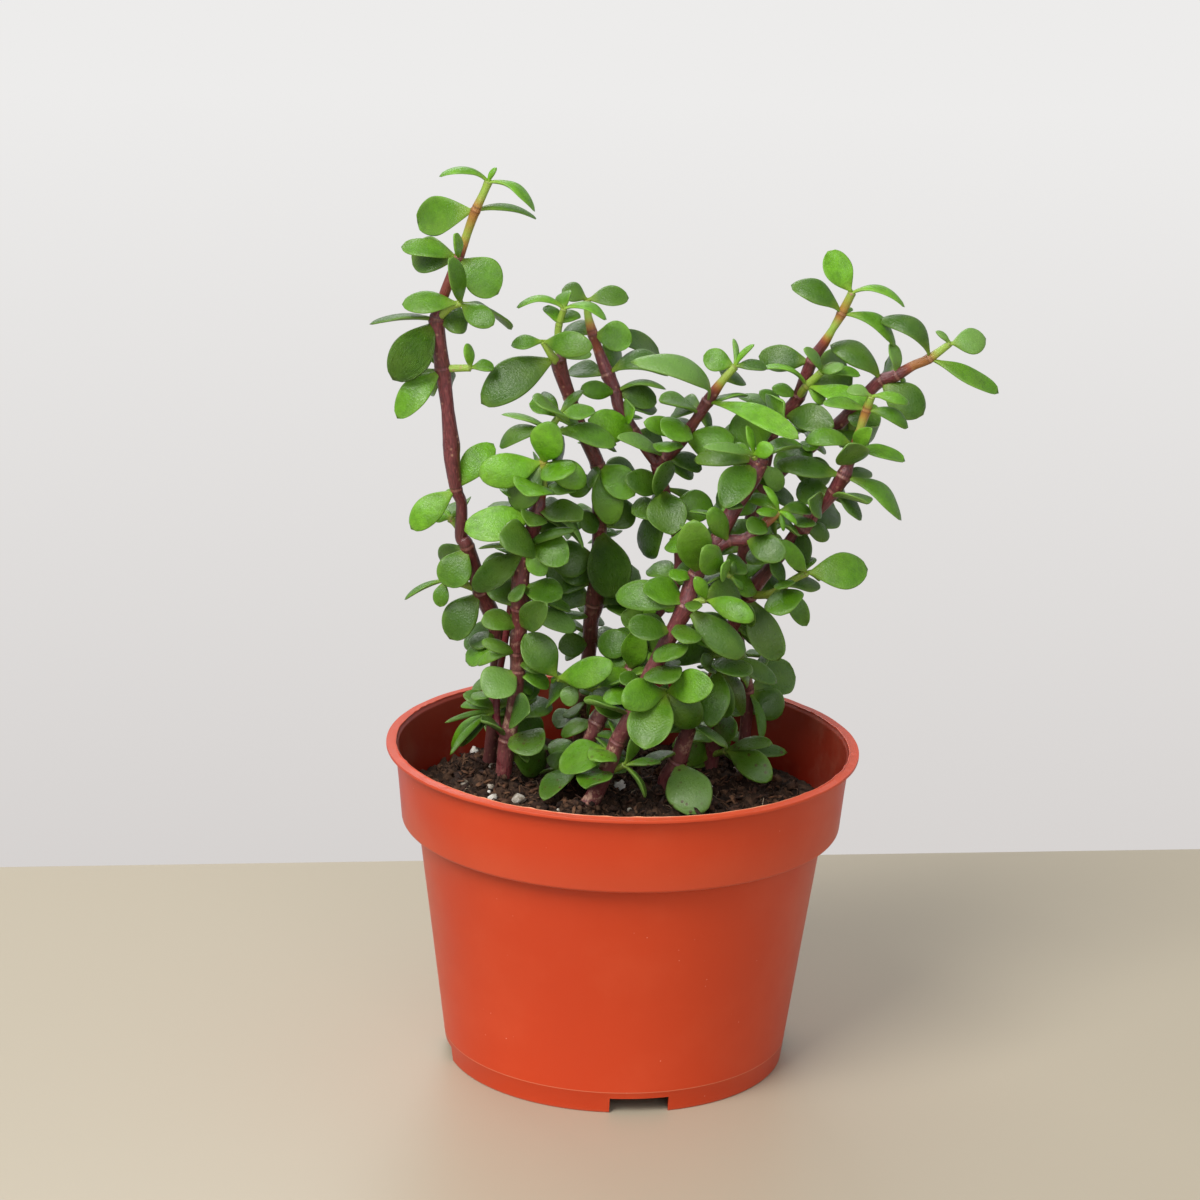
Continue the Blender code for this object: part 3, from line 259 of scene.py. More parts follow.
CUT_MIDDLE = {
    "shoots": [
        [
            (-10, 70, 33, 3.6), (-9.3, 84, 30, 3.5), (-8.2, 96.6, 26, 3.4), (-8, 103.4, 23, 3.7),
            (-7.4, 107.3, 22, 4.4), (-6.8, 116, 19, 3.4), (-6.7, 125.3, 16, 3.4), (-7, 132, 14, 3.2),
            (-7.5, 139.6, 12, 3.4), (-11.5, 148, 10, 3.2), (-14.2, 155.1, 9, 3), (-16.1, 160.3, 8, 3.5),
            (-17, 163.8, 7, 3.8),
        ],
        [(-16.6, 162.2, 7, 2), (-18.3, 164.2, 5, 1.8), (-20.3, 167.4, 4, 1.5)],
        [(-16.6, 162.2, 7, 2), (-16.8, 165.5, 9, 1.8), (-17, 170.5, 9, 1.6), (-15.9, 174.9, 8, 1.5)],
    ],
    "leaves": {
        (-17, 163.8): [(-33.8, 153.1, 9.5, "face dark"), (-9.5, 165, 4, "half pale")],
        (-20.3, 167.4): [(-27.4, 166.3, 5, "half mid"), (-9.6, 166.5, 6, "face front mid")],
        (-15.9, 174.9): [
            (-26.2, 176.2, 6, "edge arched young"), (-6.3, 173.2, 6, "edge arched young"),
            (-15, 178.9, 5, "half back mid"),
        ],
        (-16.7, 171.5): [(-12.5, 174.1, 4, "half young"), (-20.3, 175.3, 4, "half young")],
        (-14.2, 155.1): [(-12.2, 154.2, 1.6, "half young")],
        (-7.5, 139.6): [
            (-9, 134.5, 4, "half dark"), (1, 132.9, 7.5, "face young"),
            (-3.5, 125.8, 7.3, "face mid"), (-9.4, 144.5, 1.6, "half young"),
        ],
        (-6.7, 125.3): [(-3, 108.5, 10.5, "face wrinkled")],
        (-7.4, 107.3): [(-19, 111, 9, "face dark")],
        (-6.8, 118): [(-17.5, 117, 9, "face dark")],
    },
}

TWIN_MIDDLE = {
    "shoots": [
        [
            (-13, 62.5, 10, 3.4), (-11.3, 67, 10, 3.3), (-9.7, 68.6, 9, 3.3), (-8, 73.5, 9, 3.3),
            (-6.1, 79, 9, 3.9), (-3.4, 84.3, 9, 3.7), (-0.2, 88.2, 9, 3.4), (1.2, 91.8, 9, 3),
            (3, 98, 10, 2.8), (5, 103, 11, 2.8), (8.3, 107.5, 12, 2.8), (11, 113, 13, 2.8),
            (11.8, 118, 14, 3), (10.8, 124, 13, 2.8), (8.8, 130, 12, 2.8), (7.3, 134.8, 12, 2.8),
            (5.9, 140.2, 11, 3.4),
        ],
        [(-1.8, 86.2, 9, 1.8), (-6.5, 86.9, 7, 1.6), (-10.5, 88.2, 5, 1.6), (-15.2, 89.4, 3, 1.5)],
        [
            (5.9, 140.2, 11, 2.6), (2.5, 144.5, 12, 2.4), (0.6, 147.6, 14, 2.4), (-3, 152.9, 15, 2.8),
            (-3.9, 156.3, 16, 2.8), (-5.7, 160.2, 17, 3.2), (-8.1, 166, 18, 2.3), (-9.3, 169.3, 18, 2.4),
            (-10.5, 173.5, 19, 1.8), (-10.8, 177, 19, 1.6),
        ],
        [
            (5.9, 140.2, 11, 3), (7.4, 141.8, 11, 3.4), (10.3, 144.8, 10, 3), (11.8, 147, 10, 3),
            (14.2, 150.7, 9, 2.4), (16.6, 154.8, 9, 2.9), (19.7, 159.6, 8, 1.9), (22.4, 163, 8, 1.8),
        ],
    ],
    "leaves": {
        (-9.7, 68.6): [
            (-16.5, 74.4, 6, "face back mid"), (-17.8, 60, 7, "half front dark"),
            (-4, 65, 6.8, "face front pale"),
        ],
        (-6.1, 79): [(-14.5, 76.5, 5, "half dark")],
        (1.2, 91.8): [
            (-7, 88.5, 5.5, "face front young"), (2.9, 101.9, 6.3, "face front young"),
            (-8.5, 80.8, 3.5, "edge arched dark"),
        ],
        (4.6, 102): [
            (-6, 97, 5, "half back mid"), (-4.5, 106.5, 5, "half back dark"),
            (6.3, 108, 4, "half young"), (7.5, 97, 3.2, "half young"),
        ],
        (7.3, 134.8): [
            (-1, 136.2, 6.5, "face front dark"), (9.7, 123.8, 9.5, "face front dark"),
            (18.3, 129.8, 3.5, "half back dark"),
        ],
        (8.8, 130): [(3, 119, 9, "half back dark")],
        (-15.2, 89.4): [
            (-22.8, 99.6, 8.5, "face dark"), (-2.8, 92.8, 7.5, "face front young"),
            (-16.5, 88.4, 1.6, "half young"), (-16.3, 90.8, 1.4, "half young"),
        ],
        (-10.5, 88.2): [(-13.3, 83, 4.5, "face pale")],
        (-10.8, 177): [(-16.3, 179.5, 6, "half dark"), (-1.7, 178.3, 6, "half dark")],
        (-9.3, 169.3): [
            (-0.6, 168.1, 7, "face mid"), (6.2, 165.8, 6, "half back dark"),
            (-15.7, 170.7, 6, "half back dark"),
        ],
        (-5.7, 160.2): [(-14.7, 160.7, 6, "half back dark"), (8, 162, 7, "half strong dark")],
        (-3.9, 156.3): [
            (-11.4, 156.9, 4.5, "face front mid"), (7.3, 157.3, 5, "edge arched mid"),
            (5.2, 154.2, 6, "face dark"),
        ],
        (0.6, 147.6): [(-9.2, 150, 7.5, "face front young"), (6.3, 143.8, 6, "half back dark")],
        (22.4, 163): [
            (15.3, 165.3, 5.5, "face mid"), (29.5, 162.6, 4, "half dark"),
            (22, 169.4, 1.8, "half pale"), (26.5, 168.1, 1.8, "half young"),
        ],
        (16.6, 154.8): [(0, 163.8, 7, "half strong front pale"), (37.3, 146.2, 6, "half front young")],
        (11.8, 147): [(2.6, 149.7, 4.5, "face front mid"), (17.5, 143.3, 5, "half dark")],
        (7.4, 141.8): [(-3.3, 146, 5, "half front pale"), (16, 139.5, 6, "half dark")],
    },
}

FRONT_DIAGONAL = {
    "shoots": [
        [
            (-8.7, 57.5, -4, 3.9), (-5.8, 62.2, -4, 3.9), (-2.8, 69.6, -5, 3.7), (-1.2, 74.5, -5, 3.8),
            (1.8, 80.7, -6, 3.9), (4.4, 87.5, -6, 3.7), (6.9, 93.5, -6, 3.7), (11.1, 102.4, -6, 3.6),
            (13.2, 107.1, -6, 4.4), (14.8, 113.4, -5, 3.7), (18.3, 120.1, -5, 3.5), (20.8, 125, -4, 3.5),
            (24, 131.5, -3, 3.6), (27.2, 137.9, -1, 4.2), (28.2, 141, 0, 4.6), (29, 142.7, 0, 4.2),
        ],
        [
            (18.3, 120.1, -5, 3), (22.3, 122.8, -5, 2.6), (26.1, 123.4, -5, 2.6), (29.5, 126.3, -5, 2.4),
            (33.3, 129.9, -4, 2),
        ],
        [(13.2, 107.1, -6, 1.8), (15, 108.2, -7, 1.5), (17.8, 109, -7, 1.5)],
        [(17, 117.6, -5, 1.6), (20.4, 116.4, -7, 1.4), (23.2, 114.6, -8, 1.2)],
        [(4.4, 87.5, -6, 1.8), (9.6, 86.8, -9, 1.6)],
        [(-3.4, 67, -4, 1.6), (0.5, 69, -6, 1.4)],
        [(28.4, 141.2, 0, 1.8), (27.3, 142.9, -2, 1.6)],
    ],
    "leaves": {
        (28.2, 141): [
            (14, 141.5, 6.5, "half arched dark"), (21.2, 130.8, 8, "face front dark"),
            (33.7, 135, 4.5, "face pale"),
        ],
        (27.3, 142.9): [
            (16.5, 144.8, 3.5, "half front pale"), (25.5, 149.6, 3, "half young"),
            (31.8, 144.7, 4, "face front young"),
        ],
        (15.6, 115): [(14.5, 127.3, 8, "face front mid")],
        (22.3, 122.8): [(17.8, 130.2, 5, "face front mid"), (28, 127.8, 6, "face back mid")],
        (26.1, 123.4): [(35.3, 119.5, 6.5, "face front dark")],
        (33.3, 129.9): [
            (29.8, 136, 2.5, "half arched young"), (25.4, 134, 4, "half back mid"),
            (28.7, 129.5, 3.5, "half front mid"), (41.2, 131, 4, "half back dark"),
            (37.8, 127.5, 1.8, "half arched young"), (34.8, 125.5, 1.6, "half mid"),
            (32.5, 124.3, 2, "half dark"),
        ],
        (17.8, 109): [(15.4, 114, 3.3, "face front young"), (28.6, 104.8, 5.5, "face front young")],
        (13.2, 107.1): [
            (27.3, 95.9, 7.5, "face dark"), (23.8, 97.6, 3.5, "edge pale"),
            (-2.8, 109.6, 7.5, "face mid"), (8.5, 109, 2.5, "half dark"),
        ],
        (23.2, 114.6): [(26, 111.6, 1.8, "half mid"), (24, 118, 2, "half dark")],
        (9.6, 86.8): [
            (-0.4, 84.2, 7.8, "face front young"), (20.3, 88.8, 8, "face front young"),
            (5, 72.5, 10.5, "face front mid"), (17.5, 79, 8, "face back dark"),
        ],
        (0.5, 69): [
            (6, 61.4, 3, "edge mid"), (3, 77, 3.5, "half mid"), (9, 70, 3, "half dark"),
        ],
        (-1.2, 74.5): [(-5.9, 76.6, 2.5, "half back dark"), (-3.1, 79.9, 2.5, "half back young")],
    },
}

RIGHT = {
    "shoots": [
        [
            (20, 68, 27, 3.9), (20.3, 72, 26, 3.9), (20.8, 78, 24, 3.8), (21.5, 88, 20, 3.3),
            (22.8, 99, 16, 2.8), (27.5, 110.4, 12, 4), (31.6, 116.3, 10, 2.9), (36, 122.5, 8, 3.2),
            (39, 126.5, 7, 3.9), (42, 130.4, 6, 2.7), (44.5, 133.2, 5, 2.7), (47.5, 138.5, 4, 3.6),
            (48.6, 141.5, 4, 2.6), (49.8, 145, 3, 2.6), (51, 150, 2, 1.9), (52, 153.8, 2, 2.2),
            (53, 157, 1, 1.6),
        ],
        [
            (27.5, 110.4, 12, 2), (31.5, 110.6, 8, 1.9), (34.6, 112, 6, 1.9), (37, 114, 5, 1.6),
            (40.3, 116, 4, 1.8),
        ],
        [(20.3, 72, 26, 1.6), (23.6, 73.2, 20, 1.4)],
    ],
    "leaves": {
        (53, 157): [(61.5, 155.8, 4, "half arched young"), (47.5, 158.5, 3.5, "half pale")],
        (52, 153.8): [(61.7, 150.5, 4.2, "half arched mid"), (42.2, 155, 4.5, "half mid")],
        (49.8, 145): [
            (61.3, 142.7, 5, "half mid"), (53.5, 149.8, 4, "face front young"),
            (38.8, 147.3, 5.5, "half arched mid"),
        ],
        (47.5, 138.5): [
            (32.7, 141.8, 7, "half dark"), (61, 128.7, 6.5, "half arched mid"),
            (54, 139.5, 4, "half back dark"),
        ],
        (45.5, 135): [(52.2, 128.6, 5, "half dark")],
        (39, 126.5): [(45.3, 124.5, 4.5, "face dark"), (39.8, 118, 4.5, "face wrinkled")],
        (27.5, 110.4): [(34.7, 95, 8, "face dark")],
        (35.5, 112.4): [
            (41, 103.5, 4.5, "face mid"), (43.5, 113, 5, "half back dark"), (32, 118.5, 4.5, "half mid"),
        ],
        (40.3, 116): [
            (54.3, 117.5, 9, "face mid"), (34.8, 123, 4.2, "face front young"),
            (43.4, 114.2, 1.8, "half young"),
        ],
        (23.6, 73.2): [
            (23.8, 78.2, 1.8, "half mid"), (27.4, 74, 1.6, "half mid"), (34, 75.6, 4, "half mid"),
            (37.7, 73.1, 4.5, "half dark"), (34.4, 66.5, 7, "face front mid"),
        ],
    },
}

BACK_RIGHT = {
    "shoots": [
        [
            (27.5, 68.8, 29.5, 3), (28, 80, 29, 2.8), (28.3, 87.5, 28, 2.8), (25.8, 98, 26, 2.8),
            (25.2, 109, 24, 3), (26, 120.5, 22, 3), (28.5, 133.5, 21, 3.2), (30, 141, 20, 2.8),
            (31.3, 147.8, 19, 2.8), (33.5, 152.3, 18, 2.8), (36.8, 156.5, 17, 3), (39.3, 164.5, 16, 2.8),
            (41.9, 168.8, 15, 2.4), (43.7, 172, 14, 1.7), (45.5, 175.5, 14, 2.2), (47.6, 180.3, 13, 1.8),
        ],
        [
            (28.5, 133.5, 21, 2.8), (34, 139.5, 21, 2.6), (40, 145, 20, 2.8), (46.3, 151, 19, 3),
            (51, 156.5, 18, 2.8), (54.8, 160.6, 17, 2.8), (58.3, 162, 16, 2.7), (61.9, 164.3, 15, 2.2),
            (65.4, 166, 14, 2.2), (69.8, 169.5, 13, 1.4),
        ],
        [(36.8, 156.5, 17, 2), (38.5, 159, 14, 1.9), (41.6, 162.2, 12, 1.6)],
    ],
    "leaves": {
        (47.6, 180.3): [(41.8, 189.4, 7, "face young"), (59.6, 178.6, 6, "edge arched young")],
        (45.5, 175.5): [
            (34.1, 181.7, 6.5, "half arched dark"), (58.4, 169.2, 5, "half arched mid"),
            (47.9, 176.8, 1.6, "half young"),
        ],
        (39.3, 164.5): [(27.5, 165.5, 6.5, "face dark")],
        (36.8, 156.5): [(30.8, 158.5, 4, "half young")],
        (41.6, 162.2): [
            (37.5, 167.4, 3.5, "half front pale"), (46.3, 163.9, 3.5, "half front pale"),
            (50.3, 161.5, 3.5, "half mid"),
        ],
        (38.5, 159): [
            (27.5, 163.2, 5.5, "edge arched young"), (53.4, 155, 5.5, "half front young"),
            (43, 155.5, 4, "half front young"),
        ],
        (33.5, 152.3): [
            (28.3, 157.8, 4.5, "half mid"), (45, 149.8, 7, "face front dark"),
            (23.4, 157, 4, "half back mid"),
        ],
        (31.3, 147.8): [(19.8, 147.6, 5, "half arched dark"), (26, 146, 5, "half back dark")],
        (28.3, 87.5): [(32, 76.5, 3, "half mid"), (36.2, 82.4, 8, "face dark")],
        (69.8, 169.5): [(66.6, 172.3, 2, "half pale"), (77.8, 171, 6.5, "face pale")],
        (65.4, 166): [(54.2, 174.8, 6, "half strong dark"), (81.4, 158.9, 5, "half mid")],
        (58.3, 162): [(56.5, 169.2, 4, "half pale"), (60.6, 160.2, 1.6, "half young")],
        (54.8, 160.6): [(43.8, 168.9, 7.5, "half arched dark"), (64.8, 153.3, 8.5, "face dark")],
    },
}

FRONT_RIGHT = {
    "shoots": [
        [
            (10, 62.3, 9, 4.2), (10.5, 66.2, 9, 4.2), (12.7, 70.2, 8, 4.2), (14.7, 77.2, 7, 3.6),
            (17, 84, 6, 2.8), (19.5, 90, 5, 2.2), (20.8, 93.5, 5, 2), (22, 95.6, 4, 1.8),
        ],
    ],
    "leaves": {
        (12.7, 70.2): [(18.5, 58.5, 10.8, "face front pale"), (15.2, 70.8, 1.6, "half young")],
        (22, 95.6): [
            (14.8, 100.1, 3.3, "half young"), (28.4, 88.7, 4.5, "half arched young"),
            (10, 95.8, 6.5, "face back dark"), (34.9, 90.1, 5.5, "half dark"),
        ],
        (20.8, 93.5): [
            (20, 78.6, 7, "face front mid"), (23.5, 81, 6, "face dark"), (27, 82, 5, "half back dark"),
        ],
    },
}

STEMS = {
    "stem_front_left": FRONT_LEFT,
    "stem_tall_left": TALL_LEFT,
    "stem_cut_middle": CUT_MIDDLE,
    "stem_twin_middle": TWIN_MIDDLE,
    "stem_front_diagonal": FRONT_DIAGONAL,
    "stem_right": RIGHT,
    "stem_back_right": BACK_RIGHT,
    "stem_front_right": FRONT_RIGHT,
}


# The rules that place the plant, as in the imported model
def placed(across, up, back):
    """The point at this depth that the eye sees at across and up on the plane through the pot's axis."""
    spread = (back + EYE_FRONT) / EYE_FRONT
    x = EYE_ACROSS + (across - EYE_ACROSS) * spread
    z = EYE_UP + (up - EYE_UP) * spread
    return Vector((x, back, z))


def towards_eye(point):
    return (Vector((EYE_ACROSS, -EYE_FRONT, EYE_UP)) - point).normalized()


def angles_round(sides):
    return [2 * math.pi * side / sides for side in range(sides)]


def on_circle(angle, radius):
    return math.cos(angle) * radius, math.sin(angle) * radius


def bell(distance, width):
    """One at no distance, and nearly nothing two widths away."""
    return math.exp(-((distance / width) ** 2))


def smooth(low, high, value):
    """Rises from nothing at low to one at high, with soft ends."""
    share = min(1.0, max(0.0, (value - low) / (high - low)))
    return share * share * (3 - 2 * share)


def looked_up(table, words, otherwise=None):
    """What the table says of the first of the words that it has."""
    return next((table[word] for word in words if word in table), otherwise)


def ring_faces(rings, sides):
    """The side faces and both caps of a stack of closed rings of corners."""
    faces = []
    for ring in range(rings - 1):
        for side in range(sides):
            low = ring * sides + side
            low_next = ring * sides + (side + 1) % sides
            faces.append((low, low_next, low_next + sides, low + sides))
    faces.append(tuple(reversed(range(sides))))
    faces.append(tuple(range((rings - 1) * sides, rings * sides)))
    return faces


def frames_along(points):
    """Each point of a line with two directions across it, which twist as little as they can."""
    across = None
    for index, point in enumerate(points):
        before = points[max(index - 1, 0)]
        after = points[min(index + 1, len(points) - 1)]
        along = (after - before).normalized()
        if across is None:
            across = along.orthogonal().normalized()
        across = (across - along * across.dot(along)).normalized()
        yield point, across, along.cross(across)


def shoot_body(points, thicknesses, sides):
    """A tapering tube along the points, as its own points and faces."""
    corners = []
    for (point, across, other), thickness in zip(frames_along(points), thicknesses):
        for angle in angles_round(sides):
            spoke = across * math.cos(angle) + other * math.sin(angle)
            corners.append(point + spoke * thickness / 2)
    return corners, ring_faces(len(points), sides)


def leaf_frame(base, tip, words):
    """A leaf's axis, its directions along, normal and sideways, and how far it arches."""
    axis = tip - base
    length = axis.length
    along = axis / length
    eye = towards_eye(base)
    facing = (eye - along * eye.dot(along)).normalized()
    rise = Vector((0, 0, 1)) - along * along.z
    if rise.length < LEAST_RISE:
        rise = along.cross(facing)
    rise = (rise - facing * rise.dot(facing)).normalized()
    turn = math.radians(looked_up(TURN_DEGREES, words))
    normal = (facing * math.cos(turn) + rise * math.sin(turn)).normalized()
    arch = length * looked_up(ARCH, words, PLAIN_ARCH)
    return axis, along, normal, along.cross(normal), arch


def leaf_width(t):
    """Half width of an egg-shaped blade as a share of its widest half width, t from base to tip."""
    if t > LEAF_WIDEST_AT:
        return math.sqrt(max(0.0, 1 - ((t - LEAF_WIDEST_AT) / (1 - LEAF_WIDEST_AT)) ** 2))
    return math.sin(math.pi / 2 * t / LEAF_WIDEST_AT) ** 1.1


def leaf_body(base, tip, width, words, first_ring, more=0.0):
    """A plump blade from base to tip. more makes it thicker and wider all round, to test what it clears."""
    axis, along, normal, sideways, arch = leaf_frame(base, tip, words)
    thickness = looked_up(LEAF_THICKNESS, words)
    corners = []
    rings = [t for t in LEAF_RINGS if t >= first_ring]
    for t in rings:
        middle = base + axis * t + normal * arch * 4 * t * (1 - t)
        half_width = max(LEAF_STALK / 2, leaf_width(t) * width / 2) + more
        half_thickness = (LEAF_STALK + (thickness - LEAF_STALK) * min(1.0, t / LEAF_FULL_AT)) / 2 + more
        corners.append(middle - sideways * half_width)
        corners.append(middle + normal * half_thickness)
        corners.append(middle + sideways * half_width)
        corners.append(middle - normal * half_thickness)
    faces = ring_faces(len(rings), 4)[:-1]
    last = len(corners) - 4
    corners.append(tip + along * more)
    end = len(corners) - 1
    for side in range(4):
        faces.append((last + side, last + (side + 1) % 4, end))
    return corners, faces


def nearest_on_shoots(shoots, across, up):
    """The point on the middle of the stem's shoots that looks nearest to (across, up), with its depth."""
    wanted = Vector((across, up))
    best = None
    for shoot in shoots:
        for start, end in zip(shoot, shoot[1:]):
            low = Vector(start[:2])
            run = Vector(end[:2]) - low
            share = min(1.0, max(0.0, (wanted - low).dot(run) / run.length_squared))
            found = low + run * share
            gap = (found - wanted).length
            if best is None or gap < best[0]:
                best = (gap, found.x, found.y, start[2] + (end[2] - start[2]) * share)
    return best[1:]


def soil_height(x, y):
    """The soil's gentle slope and waves."""
    waves = math.sin(x * 0.31 + 1.3) * math.cos(y * 0.27) + 0.6 * math.sin(0.55 * y - 0.4 * x)
    return SOIL_HEIGHT + SOIL_SLOPE * x + SOIL_BUMPS * 0.5 * waves


def in_free_air(corners):
    """Whether a leaf is above the soil and inside or above the pot's lip."""
    for corner in corners:
        reach = math.hypot(corner.x, corner.y)
        if reach < BAND_FOOT_RADIUS and corner.z < soil_height(corner.x, corner.y) + ABOVE_SOIL:
            return False
        if corner.z < POT_HEIGHT + ABOVE_LIP and reach > BAND_FOOT_RADIUS - INSIDE_WALL:
            return False
    return True


class Surroundings:
    """What stands already, as (stem name, lowest corner, highest corner, tree of its faces)."""

    def __init__(self):
        self.bodies = []

    @staticmethod
    def box(corners):
        low = Vector([min(corner[axis] for corner in corners) for axis in range(3)])
        high = Vector([max(corner[axis] for corner in corners) for axis in range(3)])
        return low, high

    def add(self, stem, corners, faces):
        low, high = self.box(corners)
        tree = BVHTree.FromPolygons(corners, faces)
        self.bodies.append((stem, low, high, tree))

    def touches(self, corners, faces, chosen):
        low, high = self.box(corners)
        tree = None
        for stem, other_low, other_high, other_tree in self.bodies:
            if not chosen(stem):
                continue
            if any(low[axis] > other_high[axis] or high[axis] < other_low[axis] for axis in range(3)):
                continue
            tree = tree or BVHTree.FromPolygons(corners, faces)
            if tree.overlap(other_tree):
                return True
        return False

    def has_room(self, stem, root, tip, width, words, gap):
        """Whether a leaf keeps this gap to the other stems and, past its stalk, to its own."""
        whole = leaf_body(root, tip, width, words, 0.0, gap)
        blade = leaf_body(root, tip, width, words, LEAF_FREE_FROM, gap)
        if not in_free_air(blade[0]):
            return False
        if self.touches(*whole, lambda other: other != stem):
            return False
        return not self.touches(*blade, lambda other: other == stem)


def lean_of(words, seen, downwards):
    """How much further back a leaf's tip is than its base."""
    if "back" in words:
        return LEAN_BACK * seen
    if "front" in words:
        return LEAN_FRONT * seen
    if "face" in words:
        return (FACE_LEAN_DOWN if downwards else FACE_LEAN_UP) * seen
    return 0.0


def leaves_of(stem_name, stem):
    """Every leaf of a stem as (size, stem name, base, tip across, tip up, tip back, width, words)."""
    for (across, up), group in stem["leaves"].items():
        base = nearest_on_shoots(stem["shoots"], across, up)
        for tip_across, tip_up, width, text in group:
            words = text.split()
            seen = math.hypot(tip_across - base[0], tip_up - base[1])
            tip_back = base[2] + lean_of(words, seen, tip_up < base[1])
            yield seen * width, stem_name, base, tip_across, tip_up, tip_back, width, words


def clear_tip(around, stem_name, root, tip_across, tip_up, tip_back, width, words):
    """The leaf's tip, swung back or forward about its base until the leaf is clear of the rest, or None."""
    for swing in SWINGS:
        tip = placed(tip_across, tip_up, tip_back + swing)
        if around.has_room(stem_name, root, tip, width, words, LEAF_GAP):
            return tip
    return None


def seeded_blade(draw, lengths, rises, widths, looks):
    """How far a seeded leaf reaches level and upwards, its width and its words."""
    length = draw.uniform(*lengths)
    rise = draw.uniform(*rises)
    level = length / math.hypot(1.0, rise)
    width = length * draw.uniform(*widths)
    return level, level * rise, width, draw.choice(looks).split()


def depth_leaves():
    """Seeded leaves at the stems' joints that point back or forward, as those of leaves_of."""
    draw = random.Random(DEPTH_SEED)
    joints = []
    for name, stem in STEMS.items():
        for shoot in stem["shoots"]:
            for across, up, back, thickness in shoot[1:-1]:
                if up > DEPTH_LOWEST and thickness > DEPTH_THINNEST:
                    joints.append((name, across, up, back))
    for _ in range(DEPTH_TRIES):
        name, across, up, back = draw.choice(joints)
        heading = math.radians(draw.uniform(*DEPTH_HEADINGS))
        if draw.random() > DEPTH_BACK_SHARE:
            heading = -heading
        level, rise, width, words = seeded_blade(draw, DEPTH_LENGTHS, DEPTH_RISES, DEPTH_WIDTHS, DEPTH_LOOKS)
        tip_across = across + level * math.cos(heading)
        tip_back = back + level * math.sin(heading)
        yield 0.0, name, (across, up, back), tip_across, up + rise, tip_back, width, words


def settled_leaves(around):
    """Every leaf with a clear place, as (stem name, root, tip, width, words), the listed ones first."""
    listed = [leaf for name, stem in STEMS.items() for leaf in leaves_of(name, stem)]
    listed.sort(key=lambda leaf: -leaf[0])
    settled = []
    most = len(listed)
    for leaf in (*listed, *depth_leaves()):
        _, stem_name, base, tip_across, tip_up, tip_back, width, words = leaf
        root = placed(*base)
        tip = clear_tip(around, stem_name, root, tip_across, tip_up, tip_back, width, words)
        if tip is None:
            continue
        around.add(stem_name, *leaf_body(root, tip, width, words, 0.0))
        settled.append((stem_name, root, tip, width, words))
        if len(settled) == most + DEPTH_LEAVES:
            break
    return settled


def shoot_points(shoot, is_main):
    """A shoot's middle line and thicknesses, with the buried end of a main one first."""
    points = [placed(across, up, back) for across, up, back, _ in shoot]
    thicknesses = [thickness for _, _, _, thickness in shoot]
    if is_main:
        surface = points[0]
        points.insert(0, Vector((surface.x * BURIED_INWARDS, surface.y * BURIED_INWARDS, surface.z - BURIED)))
        thicknesses.insert(0, thicknesses[0])
    return points, thicknesses


# Pieces and objects
def in_scene(name, data):
    """A new object with this data."""
    thing = bpy.data.objects.new(name, data)
    bpy.context.scene.collection.objects.link(thing)
    return thing


def closed_mesh(name, points, faces):
    """A mesh of points in millimetres, with its faces turned outwards."""
    mesh = bpy.data.meshes.new(name)
    mesh.from_pydata([point * MM for point in points], [], faces)
    shape = bmesh.new()
    shape.from_mesh(mesh)
    bmesh.ops.recalc_face_normals(shape, faces=shape.faces)
    shape.to_mesh(mesh)
    shape.free()
    return mesh


class Piece:
    """Points, faces and painted values of one piece as it grows."""

    def __init__(self, *values):
        self.points = []
        self.faces = []
        self.values = {name: [] for name in values}

    def add(self, point, **values):
        self.points.append(point)
        for name, kept in self.values.items():
            kept.append(values.get(name, 0.0))
        return len(self.points) - 1

    def add_body(self, points, faces, **values):
        """Adds a body whose faces count its own points from nothing."""
        first = len(self.points)
        for point in points:
            self.add(point, **values)
        self.faces += [tuple(first + index for index in face) for face in faces]

    def close(self, starts, sides, first, last):
        """Joins the rings that start at these points to each other, and the outer two to the end points."""
        pairs = [(side, (side + 1) % sides) for side in range(sides)]
        for low, high in zip(starts, starts[1:]):
            for side, following in pairs:
                self.faces.append((low + side, low + following, high + following, high + side))
        for side, following in pairs:
            self.faces.append((first, starts[0] + following, starts[0] + side))
            self.faces.append((last, starts[-1] + side, starts[-1] + following))

    def made(self, name, material, slot, replaced=None):
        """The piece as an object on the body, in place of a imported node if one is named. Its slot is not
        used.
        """
        mesh = closed_mesh(name, self.points, self.faces)
        for value_name, kept in self.values.items():
            layer = mesh.attributes.new(value_name, "FLOAT", "POINT")
            layer.data.foreach_set("value", kept)
        mesh.materials.append(material)
        mesh.shade_smooth()
        thing = in_scene(name, mesh)
        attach(thing, "root")
        if replaced:
            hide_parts(replaced)
        return thing


# Finer leaves: rings, the shape of the blade, and how much each leaf differs
LEAF_SECTIONS = 18
LEAF_ROUND = 16
SECTION_SPREAD = 0.86
BLADE_SHARE = 0.8
BASE_POWER = 1.2
TIP_POWER = 1.75
MIDRIB_DEPTH = 0.12
MIDRIB_WIDTH = 0.14
FOLD_HEIGHT = 0.3
BLUNTNESS = (1.6, 2.3)
CUPPING = (-0.12, 0.3)
TWIST_DEGREES = 16
RUFFLE = (0.0, 0.09)
DROOP = (-0.02, 0.1)
SWAY = 0.05
LOPSIDED = 0.07
CUPPED_BETWEEN = (0.05, 0.5)
RUFFLE_WAVES = 9
BULGE_POWER = 1.2
FOLDS_ACROSS = 7
FOLDS_ALONG = 2.2
UNDERSIDE_BELOW = -0.1
MARGIN_POWER = 12
MARGIN_AT_TIP = (0.93, 1.0)
TIP_POINT_AT = 1.004
TIP_POINT_CUP = 0.4
ANY_TURN = 6.3
